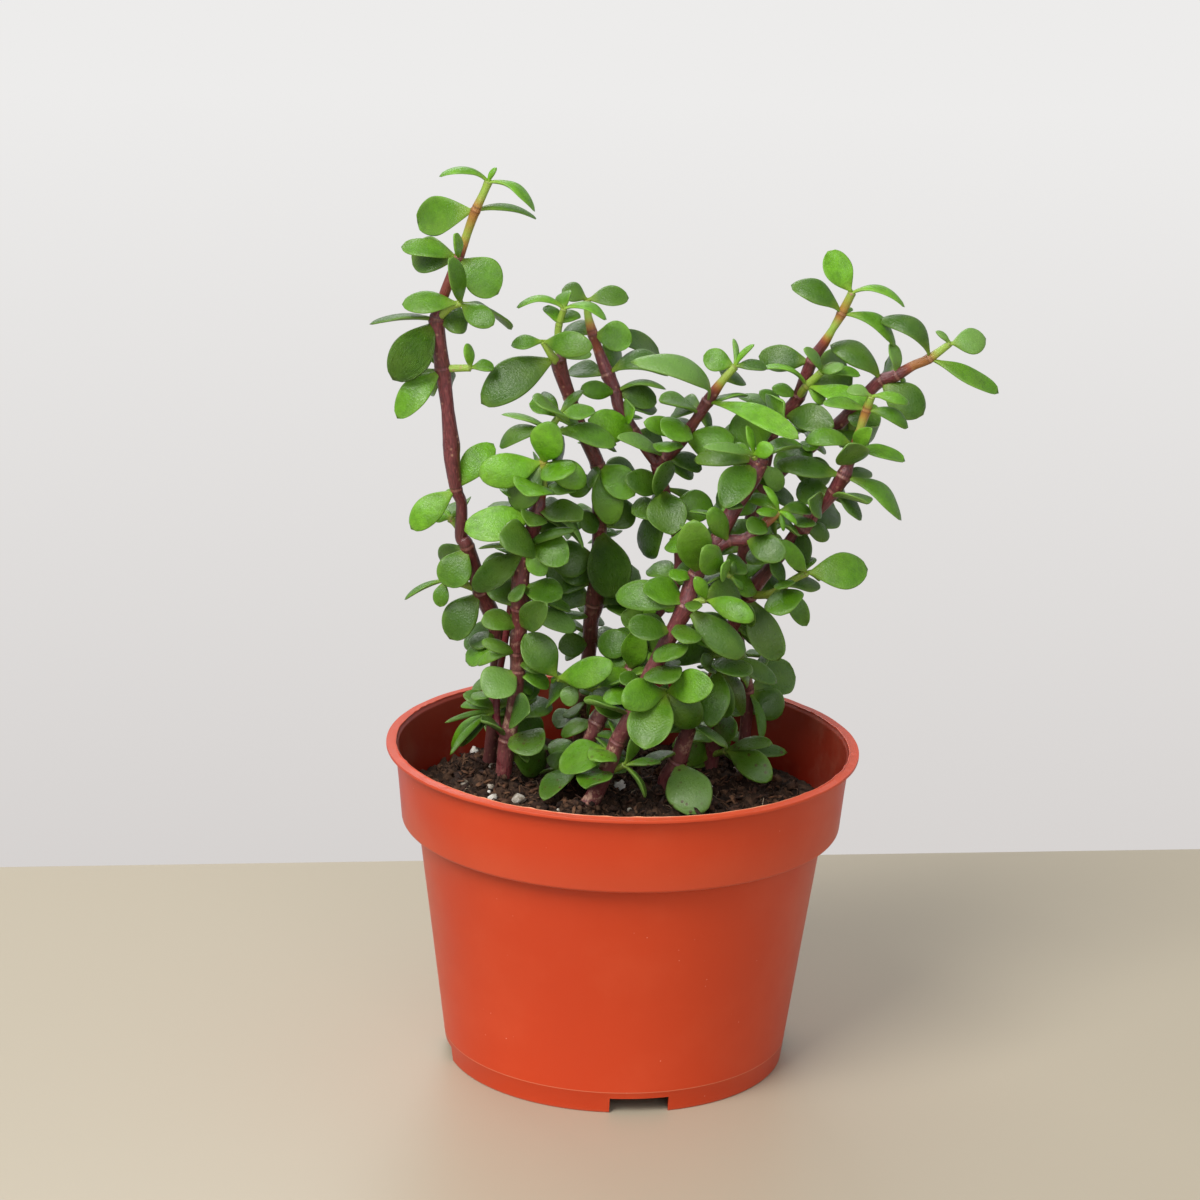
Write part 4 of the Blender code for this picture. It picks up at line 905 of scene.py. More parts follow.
AGE = {"young": 0.0, "pale": 0.55, "mid": 0.5, "dark": 1.0, "wrinkled": 0.9}
LOW_LEAF_AGE = 0.32
LOW_LEAF_HEIGHTS = (95.0, 135.0)
DIRT_HEIGHTS = (68.0, 80.0)


def fine_width(t, blunt):
    """Half width of the finer blade as a share of its widest half width."""
    if t > LEAF_WIDEST_AT:
        share = (t - LEAF_WIDEST_AT) / (1 - LEAF_WIDEST_AT)
        return max(0.0, 1 - share**blunt) ** (1 / TIP_POWER)
    return math.sin(math.pi / 2 * t / LEAF_WIDEST_AT) ** BASE_POWER


def add_leaf(piece, base, tip, width, words, draw):
    """A plump, slightly cupped blade with a rounded margin and a small point."""
    axis, along, normal, sideways, arch = leaf_frame(base, tip, words)
    length = axis.length
    thickness = looked_up(LEAF_THICKNESS, words) * BLADE_SHARE
    age = min(1.0, looked_up(AGE, words) + LOW_LEAF_AGE * (1 - smooth(*LOW_LEAF_HEIGHTS, base.z)))
    wrinkled = float("wrinkled" in words)
    pale = float("pale" in words)
    dirt = 1 - smooth(*DIRT_HEIGHTS, base.z)
    blunt = draw.uniform(*BLUNTNESS)
    cup = draw.uniform(*CUPPING) * width / 2
    if arch > length * PLAIN_ARCH * 1.01:
        cup = -abs(cup)
    twist = math.radians(draw.uniform(-TWIST_DEGREES, TWIST_DEGREES))
    wave = draw.uniform(0, ANY_TURN)
    ruffle = draw.uniform(*RUFFLE) * width / 2
    droop = draw.uniform(*DROOP) * length
    sway = draw.uniform(-SWAY, SWAY) * length
    lopsided = draw.uniform(-LOPSIDED, LOPSIDED)
    tone = draw.random()
    phase = draw.uniform(0, 50)
    starts = []
    for section in range(LEAF_SECTIONS):
        t = (section / LEAF_SECTIONS) ** SECTION_SPREAD
        middle = base + axis * t + normal * (arch * 4 * t * (1 - t) - droop * t**3)
        middle += sideways * (sway * math.sin(math.pi * t))
        half_width = max(LEAF_STALK / 2 * (1 - t**8), fine_width(t, blunt) * width / 2)
        half_thickness = (LEAF_STALK + (thickness - LEAF_STALK) * min(1.0, t / LEAF_FULL_AT)) / 2
        half_thickness *= 0.25 + 0.75 * (1 - t**6)
        across = sideways * math.cos(twist * t) + normal * math.sin(twist * t)
        upwards = normal * math.cos(twist * t) - sideways * math.sin(twist * t)
        starts.append(len(piece.points))
        for angle in angles_round(LEAF_ROUND):
            out = math.cos(angle)
            up = math.sin(angle)
            lift = cup * out * out * smooth(*CUPPED_BETWEEN, t)
            lift += ruffle * math.sin(RUFFLE_WAVES * t + wave + out) * abs(out) ** 3
            midrib = -MIDRIB_DEPTH * thickness * bell(out, MIDRIB_WIDTH) * (1 - t) if up > 0 else 0.0
            bulge = math.copysign(abs(up) ** BULGE_POWER, up)
            place = middle + across * (half_width * (out + lopsided * (1 - out * out) * t))
            place += upwards * (half_thickness * bulge + lift + midrib)
            if wrinkled:
                fold = noise.noise(Vector((out * FOLDS_ACROSS + phase, t * FOLDS_ALONG, 0)))
                place += upwards * fold * FOLD_HEIGHT * (1 - abs(out) ** 4)
            margin = max(abs(out) ** MARGIN_POWER, smooth(*MARGIN_AT_TIP, t))
            piece.add(
                place, leaf_age=age, leaf_along=t, leaf_margin=margin, leaf_tone=tone, leaf_wrinkle=wrinkled,
                leaf_under=float(up < UNDERSIDE_BELOW), leaf_pale=pale, leaf_across=out, leaf_dirt=dirt,
            )
    first = piece.add(base, leaf_age=age, leaf_tone=tone)
    point = base + axis * TIP_POINT_AT + normal * (cup * TIP_POINT_CUP - droop)
    last = piece.add(point, leaf_age=age, leaf_along=1.0, leaf_margin=1.0, leaf_tone=tone, leaf_pale=pale)
    piece.close(starts, LEAF_ROUND, first, last)


# Finer stems: rings, with a groove and a scar just above each ring, and the bark's colours
STEM_ROUND = 14
STEM_STEPS = 6
RING_REACH = 1.2
RING_SAMPLES = (-1.2, -0.6, -0.25, 0.0, 0.2, 0.4, 0.7, 1.2)
LEAST_STEP = 0.12
RING_SWELL = 0.09
RING_HALF_WIDTH = 0.75
GROOVE_DEPTH = 0.07
GROOVE_AT = 0.45
GROOVE_HALF_WIDTH = 0.22
SCAR_AT = 0.3
SCAR_HALF_WIDTH = 0.35
BARK_ROUGHNESS = 0.05
BARK_LUMPS_ROUND = 1.3
BARK_LUMPS_ALONG = 0.25
END_DOME = 0.22
END_SCAR = 0.6
GREEN_UNTIL = (1.75, 2.75)
OLD_BARK_HEIGHTS = (72.0, 112.0)
BURIED_STRAIGHT = 9.0
CRIMSON_SHOOTS = {("stem_front_left", 1)}


def curve_through(points, thicknesses):
    """Places and thicknesses on a smooth curve through the shoot's joints, with the distance run."""
    places = []
    last = len(points) - 1
    for index in range(last):
        before = points[max(index - 1, 0)]
        start = points[index]
        end = points[index + 1]
        after = points[min(index + 2, last)]
        for step in range(STEM_STEPS):
            share = step / STEM_STEPS
            bend = (end - before) * 0.5 * (share - 2 * share**2 + share**3)
            bend += (after - start) * 0.5 * (share**3 - share**2)
            rest = start * (1 - 3 * share**2 + 2 * share**3) + end * (3 * share**2 - 2 * share**3)
            wide = thicknesses[index] * (1 - share) + thicknesses[index + 1] * share
            places.append((rest + bend, wide))
    places.append((points[-1], thicknesses[-1]))
    run = 0.0
    measured = []
    for index, (place, wide) in enumerate(places):
        if index:
            run += (place - places[index - 1][0]).length
        measured.append((place, wide, run))
    return measured


def ringed(coarse, rings):
    """The curve's places with more of them near each ring, and how far along the rings are."""
    ring_runs = []
    for ring in rings:
        nearest = min(coarse, key=lambda sample: (sample[0] - ring).length)
        if (nearest[0] - ring).length < RING_REACH:
            ring_runs.append(nearest[2])
    samples = list(coarse)
    for wanted in [run + offset for run in ring_runs for offset in RING_SAMPLES]:
        for low, high in zip(coarse, coarse[1:]):
            if low[2] < wanted < high[2]:
                share = (wanted - low[2]) / (high[2] - low[2])
                place = low[0].lerp(high[0], share)
                samples.append((place, low[1] + (high[1] - low[1]) * share, wanted))
    samples.sort(key=lambda sample: sample[2])
    kept = [samples[0]]
    for sample in samples[1:]:
        if sample[2] - kept[-1][2] > LEAST_STEP:
            kept.append(sample)
    return kept, ring_runs


def add_shoot(piece, points, thicknesses, rings, crimson, draw):
    """A tapering stem with a swollen ring and a scar line at each pair of leaves."""
    kept, ring_runs = ringed(curve_through(points, thicknesses), rings)
    phase = draw.uniform(0, 40)
    tone = draw.random()
    red = float(crimson)
    starts = []
    frames = frames_along([place for place, _, _ in kept])
    for (place, across, other), (_, wide, run) in zip(frames, kept):
        swell = 0.0
        scar = 0.0
        for ring_run in ring_runs:
            distance = run - ring_run
            swell += RING_SWELL * bell(distance, RING_HALF_WIDTH)
            swell -= GROOVE_DEPTH * bell(distance - GROOVE_AT, GROOVE_HALF_WIDTH)
            scar = max(scar, bell(distance - SCAR_AT, SCAR_HALF_WIDTH))
        green = 0.0 if crimson else 1 - smooth(*GREEN_UNTIL, wide)
        old = 0.0 if crimson else 1 - smooth(*OLD_BARK_HEIGHTS, place.z)
        starts.append(len(piece.points))
        for side, angle in enumerate(angles_round(STEM_ROUND)):
            spoke = across * math.cos(angle) + other * math.sin(angle)
            x, y = on_circle(angle, BARK_LUMPS_ROUND)
            rough = noise.noise(Vector((x + phase, y, run * BARK_LUMPS_ALONG)))
            radius = wide / 2 * (1 + swell + BARK_ROUGHNESS * rough)
            piece.add(
                place + spoke * radius, stem_green=green, stem_scar=scar, stem_run=run,
                stem_tone=tone, stem_round=side / STEM_ROUND, stem_red=red, stem_old=old,
            )
    first = piece.add(kept[0][0], stem_tone=tone)
    end_green = 0.0 if crimson else 1 - smooth(*GREEN_UNTIL, kept[-1][1])
    dome = kept[-1][0] + (kept[-1][0] - kept[-2][0]).normalized() * kept[-1][1] * END_DOME
    last = piece.add(dome, stem_tone=tone, stem_green=end_green, stem_scar=END_SCAR)
    piece.close(starts, STEM_ROUND, first, last)


# The plant, with small leaves that fill its thick middle
PLANT_SEED = 11
FILLING_SEED = 13
FILLING_LEAVES = 230
FILLING_GAP = 0.08
FILLING_TRIES = 7000
FILLING_ACROSS = (-30.0, 48.0)
FILLING_UP = (66.0, 154.0)
FILLING_LENGTHS = (6.0, 13.5)
FILLING_RISES = (-0.5, 0.6)
FILLING_WIDTHS = (0.64, 0.84)
FILLING_LOOKS = ("half dark", "face dark", "half mid", "face mid", "edge mid", "half young")


def filling_leaves(around):
    """Smaller seeded leaves between the others, as those of settled_leaves."""
    draw = random.Random(FILLING_SEED)
    stretches = [
        (name, Vector(low[:3]), Vector(high[:3]))
        for name, stem in STEMS.items()
        for shoot in stem["shoots"]
        for low, high in zip(shoot, shoot[1:])
    ]
    found = []
    for _ in range(FILLING_TRIES):
        name, low, high = draw.choice(stretches)
        across, up, back = low.lerp(high, draw.random())
        if not (FILLING_ACROSS[0] < across < FILLING_ACROSS[1] and FILLING_UP[0] < up < FILLING_UP[1]):
            continue
        heading = draw.uniform(0, 2 * math.pi)
        blade = seeded_blade(draw, FILLING_LENGTHS, FILLING_RISES, FILLING_WIDTHS, FILLING_LOOKS)
        level, rise, width, words = blade
        root = placed(across, up, back)
        tip = placed(across + level * math.cos(heading), up + rise, back + level * math.sin(heading))
        if not around.has_room(name, root, tip, width, words, FILLING_GAP):
            continue
        around.add(name, *leaf_body(root, tip, width, words, 0.0))
        found.append((name, root, tip, width, words))
        if len(found) == FILLING_LEAVES:
            break
    return found


def make_plant(leaf_material, stem_material):
    """A stem piece and a leaf piece for each packed stem node."""
    around = Surroundings()
    draw = random.Random(PLANT_SEED)
    for name, stem in STEMS.items():
        for index, shoot in enumerate(stem["shoots"]):
            points, thicknesses = shoot_points(shoot, index == 0)
            sides = STEM_SIDES if thicknesses[0] > THIN_SHOOT else THIN_SHOOT_SIDES
            around.add(name, *shoot_body(points, thicknesses, sides))
    settled = settled_leaves(around)
    settled += filling_leaves(around)
    for name, stem in STEMS.items():
        wood = Piece("stem_green", "stem_scar", "stem_run", "stem_tone", "stem_round", "stem_red", "stem_old")
        rings = [placed(*nearest_on_shoots(stem["shoots"], *spot)) for spot in stem["leaves"]]
        for index, shoot in enumerate(stem["shoots"]):
            points, thicknesses = shoot_points(shoot, index == 0)
            if index == 0:
                points[0] = points[1] - (points[2] - points[1]).normalized() * BURIED_STRAIGHT
            crimson = (name, index) in CRIMSON_SHOOTS
            add_shoot(wood, points, thicknesses, rings, crimson, draw)
        wood.made(name + "_wood", stem_material, "leaf_and_stem", name)
        green = Piece(
            "leaf_age", "leaf_along", "leaf_margin", "leaf_tone", "leaf_wrinkle", "leaf_under", "leaf_dirt",
            "leaf_pale", "leaf_across",
        )
        for leaf in settled:
            if leaf[0] == name:
                add_leaf(green, *leaf[1:], draw)
        green.made(name + "_leaves", leaf_material, "leaf_and_stem", name)


# Materials
def srgb(red, green, blue):
    """A colour given as on screen, 0 to 255, in the linear values that a shader takes."""
    shares = (channel / 255 for channel in (red, green, blue))
    linear = (share / 12.92 if share <= 0.04045 else ((share + 0.055) / 1.055) ** 2.4 for share in shares)
    return (*linear, 1.0)


class Nodes:
    """A small helper that adds shader nodes to a material or a world and joins them."""

    def __init__(self, owner):
        owner.use_nodes = True
        self.owner = owner
        self.tree = owner.node_tree

    def give(self, target, source):
        """Joins a node's output to the target, or sets the target to a number or a colour."""
        if isinstance(source, bpy.types.NodeSocket):
            self.tree.links.new(source, target)
        else:
            target.default_value = source

    def node(self, kind, output, inputs, **settings):
        """The output of a new node with these inputs and settings."""
        made = self.tree.nodes.new("ShaderNode" + kind)
        for name, value in settings.items():
            setattr(made, name, value)
        for name, source in inputs.items():
            self.give(made.inputs[name], source)
        return made.outputs[output]

    def value(self, name):
        return self.node("Attribute", "Fac", {}, attribute_name=name)

    def place(self):
        return self.node("TexCoord", "Object", {})

    def noise(self, scale, detail=3.0, roughness=0.55, vector=None, stretch=None):
        vector = vector or self.place()
        if stretch:
            vector = self.node("Mapping", "Vector", {"Vector": vector, "Scale": stretch})
        inputs = {"Scale": scale, "Detail": detail, "Roughness": roughness, "Vector": vector}
        return self.node("TexNoise", "Fac", inputs)

    def cells(self, scale):
        return self.node("TexVoronoi", "Distance", {"Scale": scale, "Vector": self.place()})

    def vector(self, x, y, z):
        return self.node("CombineXYZ", "Vector", {0: x, 1: y, 2: z})

    def ramp(self, source, *stops):
        made = self.tree.nodes.new("ShaderNodeValToRGB")
        elements = made.color_ramp.elements
        while len(elements) < len(stops):
            elements.new(0.5)
        for element, (position, colour) in zip(elements, stops):
            element.position = position
            element.color = colour
        self.give(made.inputs["Fac"], source)
        return made.outputs["Color"]

    def grey_ramp(self, source, *stops):
        return self.ramp(source, *((position, (grey, grey, grey, 1.0)) for position, grey in stops))

    def mix(self, share, first, second):
        return self.node("Mix", 2, {0: share, 6: first, 7: second}, data_type="RGBA")

    def maths(self, operation, first, second, clamp=False):
        return self.node("Math", "Value", {0: first, 1: second}, operation=operation, use_clamp=clamp)

    def times(self, first, second, clamp=False):
        return self.maths("MULTIPLY", first, second, clamp)

    def bump(self, height, strength, distance, after=None):
        inputs = {"Strength": strength, "Distance": distance, "Height": height}
        if after:
            inputs["Normal"] = after
        return self.node("Bump", "Normal", inputs)

    def patches(self, scale, detail, roughness, *stops):
        """Shares that a noise makes, by (position, share) stops."""
        return self.grey_ramp(self.noise(scale, detail, roughness), *stops)

    def spots(self, scale, dots, patch_scale, patch_detail, patches):
        """Shares of small dots that stand in some patches only. dots and patches are stops."""
        dot_share = self.grey_ramp(self.cells(scale), *dots)
        patch_share = self.grey_ramp(self.noise(patch_scale, patch_detail), *patches)
        return self.times(dot_share, patch_share)

    def coated(self, body, *coats):
        """The body's colour under coats, each of them a share and a colour."""
        for share, colour in coats:
            body = self.mix(share, body, colour)
        return body

    def finished(self, values):
        """The material, with these inputs of its shader joined or set."""
        for name, source in values.items():
            self.give(self.tree.nodes["Principled BSDF"].inputs[name], source)
        return self.owner


def leaf_material():
    """Green that goes from bright yellow-green when young to dark grey-green when old."""
    n = Nodes(bpy.data.materials.new("leaf_green"))
    age = n.value("leaf_age")
    tone = n.value("leaf_tone")
    along = n.value("leaf_along")
    shifted = n.maths("ADD", age, n.times(n.maths("SUBTRACT", tone, 0.5), 0.35), clamp=True)
    body = n.ramp(
        shifted,
        (0.0, srgb(108, 168, 26)),
        (0.3, srgb(94, 148, 22)),
        (0.6, srgb(80, 127, 18)),
        (1.0, srgb(61, 98, 17)),
    )
    mottle = n.patches(420.0, 5.0, 0.7, (0.38, 0.0), (0.68, 0.5))
    bloom = n.patches(90.0, 3.0, 0.5, (0.45, 0.0), (0.75, 0.3))
    stalk = n.grey_ramp(along, (0.0, 0.8), (0.14, 0.3), (0.3, 0.0))
    specks = n.spots(900.0, ((0.05, 1.0), (0.16, 0.0)), 160.0, 2.0, ((0.5, 0.0), (0.62, 1.0)))
    specks = n.times(n.times(specks, n.maths("ADD", age, 0.1)), 0.75, clamp=True)
    dirt = n.spots(560.0, ((0.16, 0.85), (0.3, 0.0)), 230.0, 2.0, ((0.42, 0.0), (0.52, 1.0)))
    pores = n.bump(n.cells(1900.0), 0.32, 0.00016)
    uneven = n.bump(n.noise(330.0, 4.0, 0.6), 0.4, 0.0004, pores)
    fold_place = n.vector(n.times(n.value("leaf_across"), 9.0), n.times(along, 2.0), tone)
    folds = n.noise(3.2, 4.0, 0.65, vector=fold_place)
    fold_height = n.times(folds, n.maths("ADD", n.value("leaf_wrinkle"), 0.06))
    return n.finished({
        "Base Color": n.coated(
            body,
            (mottle, srgb(46, 82, 10)),
            (bloom, srgb(126, 156, 62)),
            (n.times(n.value("leaf_pale"), 0.4), srgb(130, 170, 92)),
            (n.times(n.value("leaf_under"), 0.35), srgb(142, 174, 98)),
            (stalk, srgb(150, 178, 62)),
            (n.times(n.value("leaf_margin"), 0.32), srgb(150, 190, 92)),
            (specks, srgb(28, 44, 18)),
            (n.times(dirt, n.value("leaf_dirt")), srgb(78, 52, 30)),
        ),
        "Roughness": n.patches(900.0, 4.0, 0.7, (0.35, 0.24), (0.7, 0.5)),
        "Specular IOR Level": 0.43,
        "Subsurface Weight": 0.05,
        "Subsurface Radius": (0.6, 1.0, 0.25),
        "Subsurface Scale": 0.0012,
        "Normal": n.bump(fold_height, 0.9, 0.0012, uneven),
    })


def stem_material():
    """Maroon-brown bark, orange then yellow-green towards the growing tips, with pale scars at the rings."""
    n = Nodes(bpy.data.materials.new("stem_bark"))
    green = n.value("stem_green")
    scar = n.value("stem_scar")
    old = n.value("stem_old")
    streak_place = n.vector(n.value("stem_round"), n.times(n.value("stem_run"), 0.02), n.value("stem_tone"))
    streaks = n.noise(30.0, 4.0, 0.6, vector=streak_place)
    bark = n.ramp(streaks, (0.25, srgb(64, 26, 30)), (0.5, srgb(104, 42, 48)), (0.8, srgb(144, 74, 74)))
    weather = n.patches(150.0, 5.0, 0.7, (0.36, 0.1), (0.66, 0.72))
    flakes = n.patches(420.0, 4.0, 0.7, (0.55, 0.0), (0.63, 0.8))
    flakes = n.times(flakes, n.patches(90.0, 2.0, 0.55, (0.46, 0.0), (0.56, 1.0)))
    growing = n.ramp(
        green,
        (0.0, srgb(84, 36, 34)),
        (0.45, srgb(140, 66, 40)),
        (0.72, srgb(166, 122, 50)),
        (1.0, srgb(146, 176, 66)),
    )
    broken = n.patches(420.0, 3.0, 0.6, (0.42, 0.0), (0.62, 0.6))
    groove = n.grey_ramp(scar, (0.02, 0.0), (0.2, 0.5), (0.5, 0.0))
    dots = n.spots(620.0, ((0.1, 0.8), (0.26, 0.0)), 150.0, 3.0, ((0.46, 0.0), (0.58, 1.0)))
    return n.finished({
        "Base Color": n.coated(
            bark,
            (n.patches(75.0, 3.0, 0.55, (0.4, 0.0), (0.75, 0.4)), srgb(84, 38, 32)),
            (n.times(weather, old), srgb(142, 92, 88)),
            (n.times(flakes, old), srgb(204, 164, 140)),
            (n.times(n.value("stem_red"), 0.7), srgb(132, 30, 44)),
            (n.grey_ramp(green, (0.05, 0.0), (0.4, 1.0)), growing),
            (n.times(scar, broken), srgb(158, 112, 88)),
            (groove, srgb(48, 22, 22)),
            (dots, srgb(178, 132, 108)),
        ),
        "Roughness": n.patches(300.0, 3.0, 0.55, (0.3, 0.24), (0.75, 0.46)),
        "Specular IOR Level": 0.6,
        "Normal": n.bump(streaks, 0.5, 0.0005, n.bump(n.noise(900.0, 3.0), 0.35, 0.0003)),
    })


def pot_material():
    """Satin orange-red moulded plastic, with a painted highlight on its thin edges, and a painted shade
    inside with real dust over it.
    """
    n = Nodes(bpy.data.materials.new("pot_plastic"))
    edge = n.value("pot_edge_highlight")
    inside = n.value("pot_inside")
    flow = n.noise(14.0, 3.0, 0.5, stretch=(1.0, 1.0, 0.35))
    body = n.ramp(flow, (0.3, srgb(188, 56, 20)), (0.7, srgb(198, 64, 26)))
    dust = n.patches(70.0, 5.0, 0.7, (0.5, 0.0), (0.8, 0.5))
    lint = n.spots(420.0, ((0.03, 0.6), (0.07, 0.0)), 60.0, 2.0, ((0.56, 0.0), (0.64, 1.0)))
    grain = n.bump(n.noise(1200.0, 2.0), 0.12, 0.0001)
    return n.finished({
        "Base Color": n.coated(
            body,
            (n.patches(45.0, 4.0, 0.6, (0.5, 0.0), (0.85, 0.25)), srgb(216, 92, 56)),
            # Painted shade: the whole inside of the pot is darkened, and real dust lies over it
            (n.times(inside, 0.85), srgb(106, 14, 5)),
            (n.times(dust, inside), srgb(146, 92, 74)),
            # Painted highlight on the thin edges, the flash and the scribed line
            (n.times(edge, 0.5, clamp=True), srgb(206, 118, 88)),
            (n.maths("SUBTRACT", edge, 1.0, clamp=True), srgb(250, 176, 132)),
            (lint, srgb(240, 190, 166)),
        ),
        "Roughness": n.patches(55.0, 4.0, 0.55, (0.3, 0.34), (0.75, 0.45)),
        "Specular IOR Level": 0.34,
        "Subsurface Weight": 0.05,
        "Subsurface Radius": (1.0, 0.35, 0.15),
        "Subsurface Scale": 0.001,
        "Normal": n.bump(n.noise(28.0, 2.0, 0.4, stretch=(1.0, 1.0, 0.5)), 0.25, 0.0012, grain),
    })


# What the soil is made of: dark, middle and light shade, fineness of the pattern, roughness, bump depth
SOIL_LOOKS = {
    "soil_mix": ((32, 22, 16), (58, 41, 30), (98, 72, 54), 420.0, 0.95, 0.0006),
    "soil_crumbs": ((30, 19, 14), (58, 39, 28), (104, 76, 56), 500.0, 0.9, 0.0004),
    "bark": ((40, 25, 18), (78, 50, 36), (128, 92, 66), 520.0, 0.8, 0.0005),
    "perlite": ((140, 128, 112), (206, 200, 188), (238, 236, 230), 700.0, 0.8, 0.0004),
    "root_fibre": ((96, 78, 62), (132, 112, 92), (168, 150, 128), 500.0, 0.85, 0.0002),
}


def rough_material(name):
    """A crumbly matte surface of three shades, which also differ from grain to grain."""
    dark, mid, light, scale, roughness, bump_distance = SOIL_LOOKS[name]
    n = Nodes(bpy.data.materials.new(name))
    grain = n.times(n.maths("SUBTRACT", n.value("grain_tone"), 0.5), 0.45)
    shade = n.maths("ADD", n.noise(scale, 5.0, 0.65), grain, clamp=True)
    colour = n.ramp(shade, (0.28, srgb(*dark)), (0.5, srgb(*mid)), (0.78, srgb(*light)))
    fleck = n.patches(scale * 3.2, 3.0, 0.55, (0.62, 0.0), (0.72, 0.6))
    return n.finished({
        "Base Color": n.mix(fleck, colour, srgb(*light)),
        "Roughness": roughness,
        "Specular IOR Level": 0.3,
        "Normal": n.bump(n.noise(scale * 2.0, 6.0, 0.7), 0.8, bump_distance),
    })


# The pot, with a painted highlight on its edges. The first number below is how strong the painted highlight
# is on the thin flash of plastic round the inside of its lip, strongest at the front
FLASH_HIGHLIGHT = 2.0
FLASH_HEIGHT = 0.3
FLASH_REACH = 0.24
# How much of the flash's painted highlight stays at the back, and where round the lip it grows to full
# strength at the front
BACK_PALENESS = 0.4
FRONT_SHARES = (0.35, 0.95)
LIP_WAVE = 0.10
LIP_WAVES = 9
LIP_RAGS = 40
# The least share of the flash's painted highlight, where its rags are small
LEAST_RAG_PALENESS = 0.7
# Where round the lip the waves, the rags and the flash's painted highlight are made
LIP_RAGGED_WIDE = 2
LIP_RAGGED_HIGH = 1
# The painted highlight along the scribed line, how far the line stands out, and its half width
LINE_PALENESS = 1.4
LINE_RISE = 0.05
LINE_HALF_WIDTH = 0.16
SHARP_DEGREES = 50


def wall_radius(height):
    """Outer radius of the wall under the band."""
    return FOOT_RADIUS + (WALL_TOP_RADIUS - FOOT_RADIUS) * height / BAND_FOOT_HEIGHT


def rounded(corner, before, after, radius, steps=4):
    """Points on a small round in place of a profile's corner."""
    start = corner + (before - corner).normalized() * radius
    end = corner + (after - corner).normalized() * radius
    shares = [step / steps for step in range(steps + 1)]
    return [start * (1 - s) ** 2 + corner * 2 * s * (1 - s) + end * s**2 for s in shares]


def pot_corners(lip_foot, floor_top):
    """Each corner's radius, height and rounding, how strong the painted highlight on its edge is, and whether
    it faces inwards, where shade is painted.
    """
    lip_inside = LIP_RADIUS - LIP_WIDTH
    band_foot = BAND_FOOT_HEIGHT - BAND_ROUNDING
    step_top = BAND_FOOT_HEIGHT + WALL - BAND_ROUNDING
    line_low = SCRIBED_LINE_HEIGHT - LINE_HALF_WIDTH
    line_high = SCRIBED_LINE_HEIGHT + LINE_HALF_WIDTH
    return [
        (BOSS_RADIUS, 0, 0.3, 0, 0),
        (BOSS_RADIUS, FLOOR_UNDERSIDE, 0.3, 0, 1),
        (wall_radius(FLOOR_UNDERSIDE) - WALL, FLOOR_UNDERSIDE, 0.2, 0, 1),
        (FOOT_RADIUS - WALL, 0, 0.15, 0.3, 1),
        (FOOT_RADIUS, 0, 0.35, 0.3, 0),
        (wall_radius(0.8), 0.8, 0, 0, 0),
        (wall_radius(line_low), line_low, 0, 0, 0),
        (wall_radius(SCRIBED_LINE_HEIGHT) + LINE_RISE, SCRIBED_LINE_HEIGHT, 0, LINE_PALENESS, 0),
        (wall_radius(line_high), line_high, 0, 0, 0),
        (wall_radius(30), 30, 0, 0, 0),
        (WALL_TOP_RADIUS, band_foot, 0.5, 0, 0),
        (BAND_FOOT_RADIUS, band_foot, 0.8, 0.25, 0),
        (BAND_TOP_RADIUS - 0.9, 66, 0, 0, 0),
        (BAND_TOP_RADIUS, lip_foot, 0.4, 0, 0),
        (LIP_RADIUS, lip_foot, 0.15, 0.1, 0),
        (LIP_RADIUS, POT_HEIGHT - 0.2, 0.15, 0.25, 0),
        (lip_inside + 0.3, POT_HEIGHT - 0.2, 0, 0.35, 0),
        (lip_inside + 0.12, POT_HEIGHT - 0.05, 0, FLASH_HIGHLIGHT, 0),
        (lip_inside - 0.06, POT_HEIGHT - 0.1, 0, FLASH_HIGHLIGHT, 0),
        (lip_inside - 0.06, POT_HEIGHT - 0.3, 0, 0.1, 1),
        (BAND_TOP_RADIUS - WALL, lip_foot, 0.3, 0.2, 1),
        (BAND_FOOT_RADIUS - WALL, step_top, 0.5, 0, 1),
        (WALL_TOP_RADIUS - WALL, step_top, 0.4, 0, 1),
        (wall_radius(floor_top) - WALL, floor_top, 0.4, 0, 1),
    ]


def ragged_lip_and_highlight(angle, radius, height, edge):
    """The lip's radius, height and painted highlight at this angle: wavy, and ragged where the flash is,
    whose painted highlight is strongest at the front.
    """
    height += LIP_WAVE * noise.noise(Vector((*on_circle(angle, LIP_WAVES), 3)))
    if edge == FLASH_HIGHLIGHT:
        rag = noise.noise(Vector((*on_circle(angle, LIP_RAGS), 8)))
        height += FLASH_HEIGHT * abs(rag)
        radius += FLASH_REACH * rag
        front = smooth(*FRONT_SHARES, -math.sin(angle))
        edge = BACK_PALENESS + (FLASH_HIGHLIGHT - BACK_PALENESS) * front * min(1.0, LEAST_RAG_PALENESS + abs(rag))
    return radius, height, edge


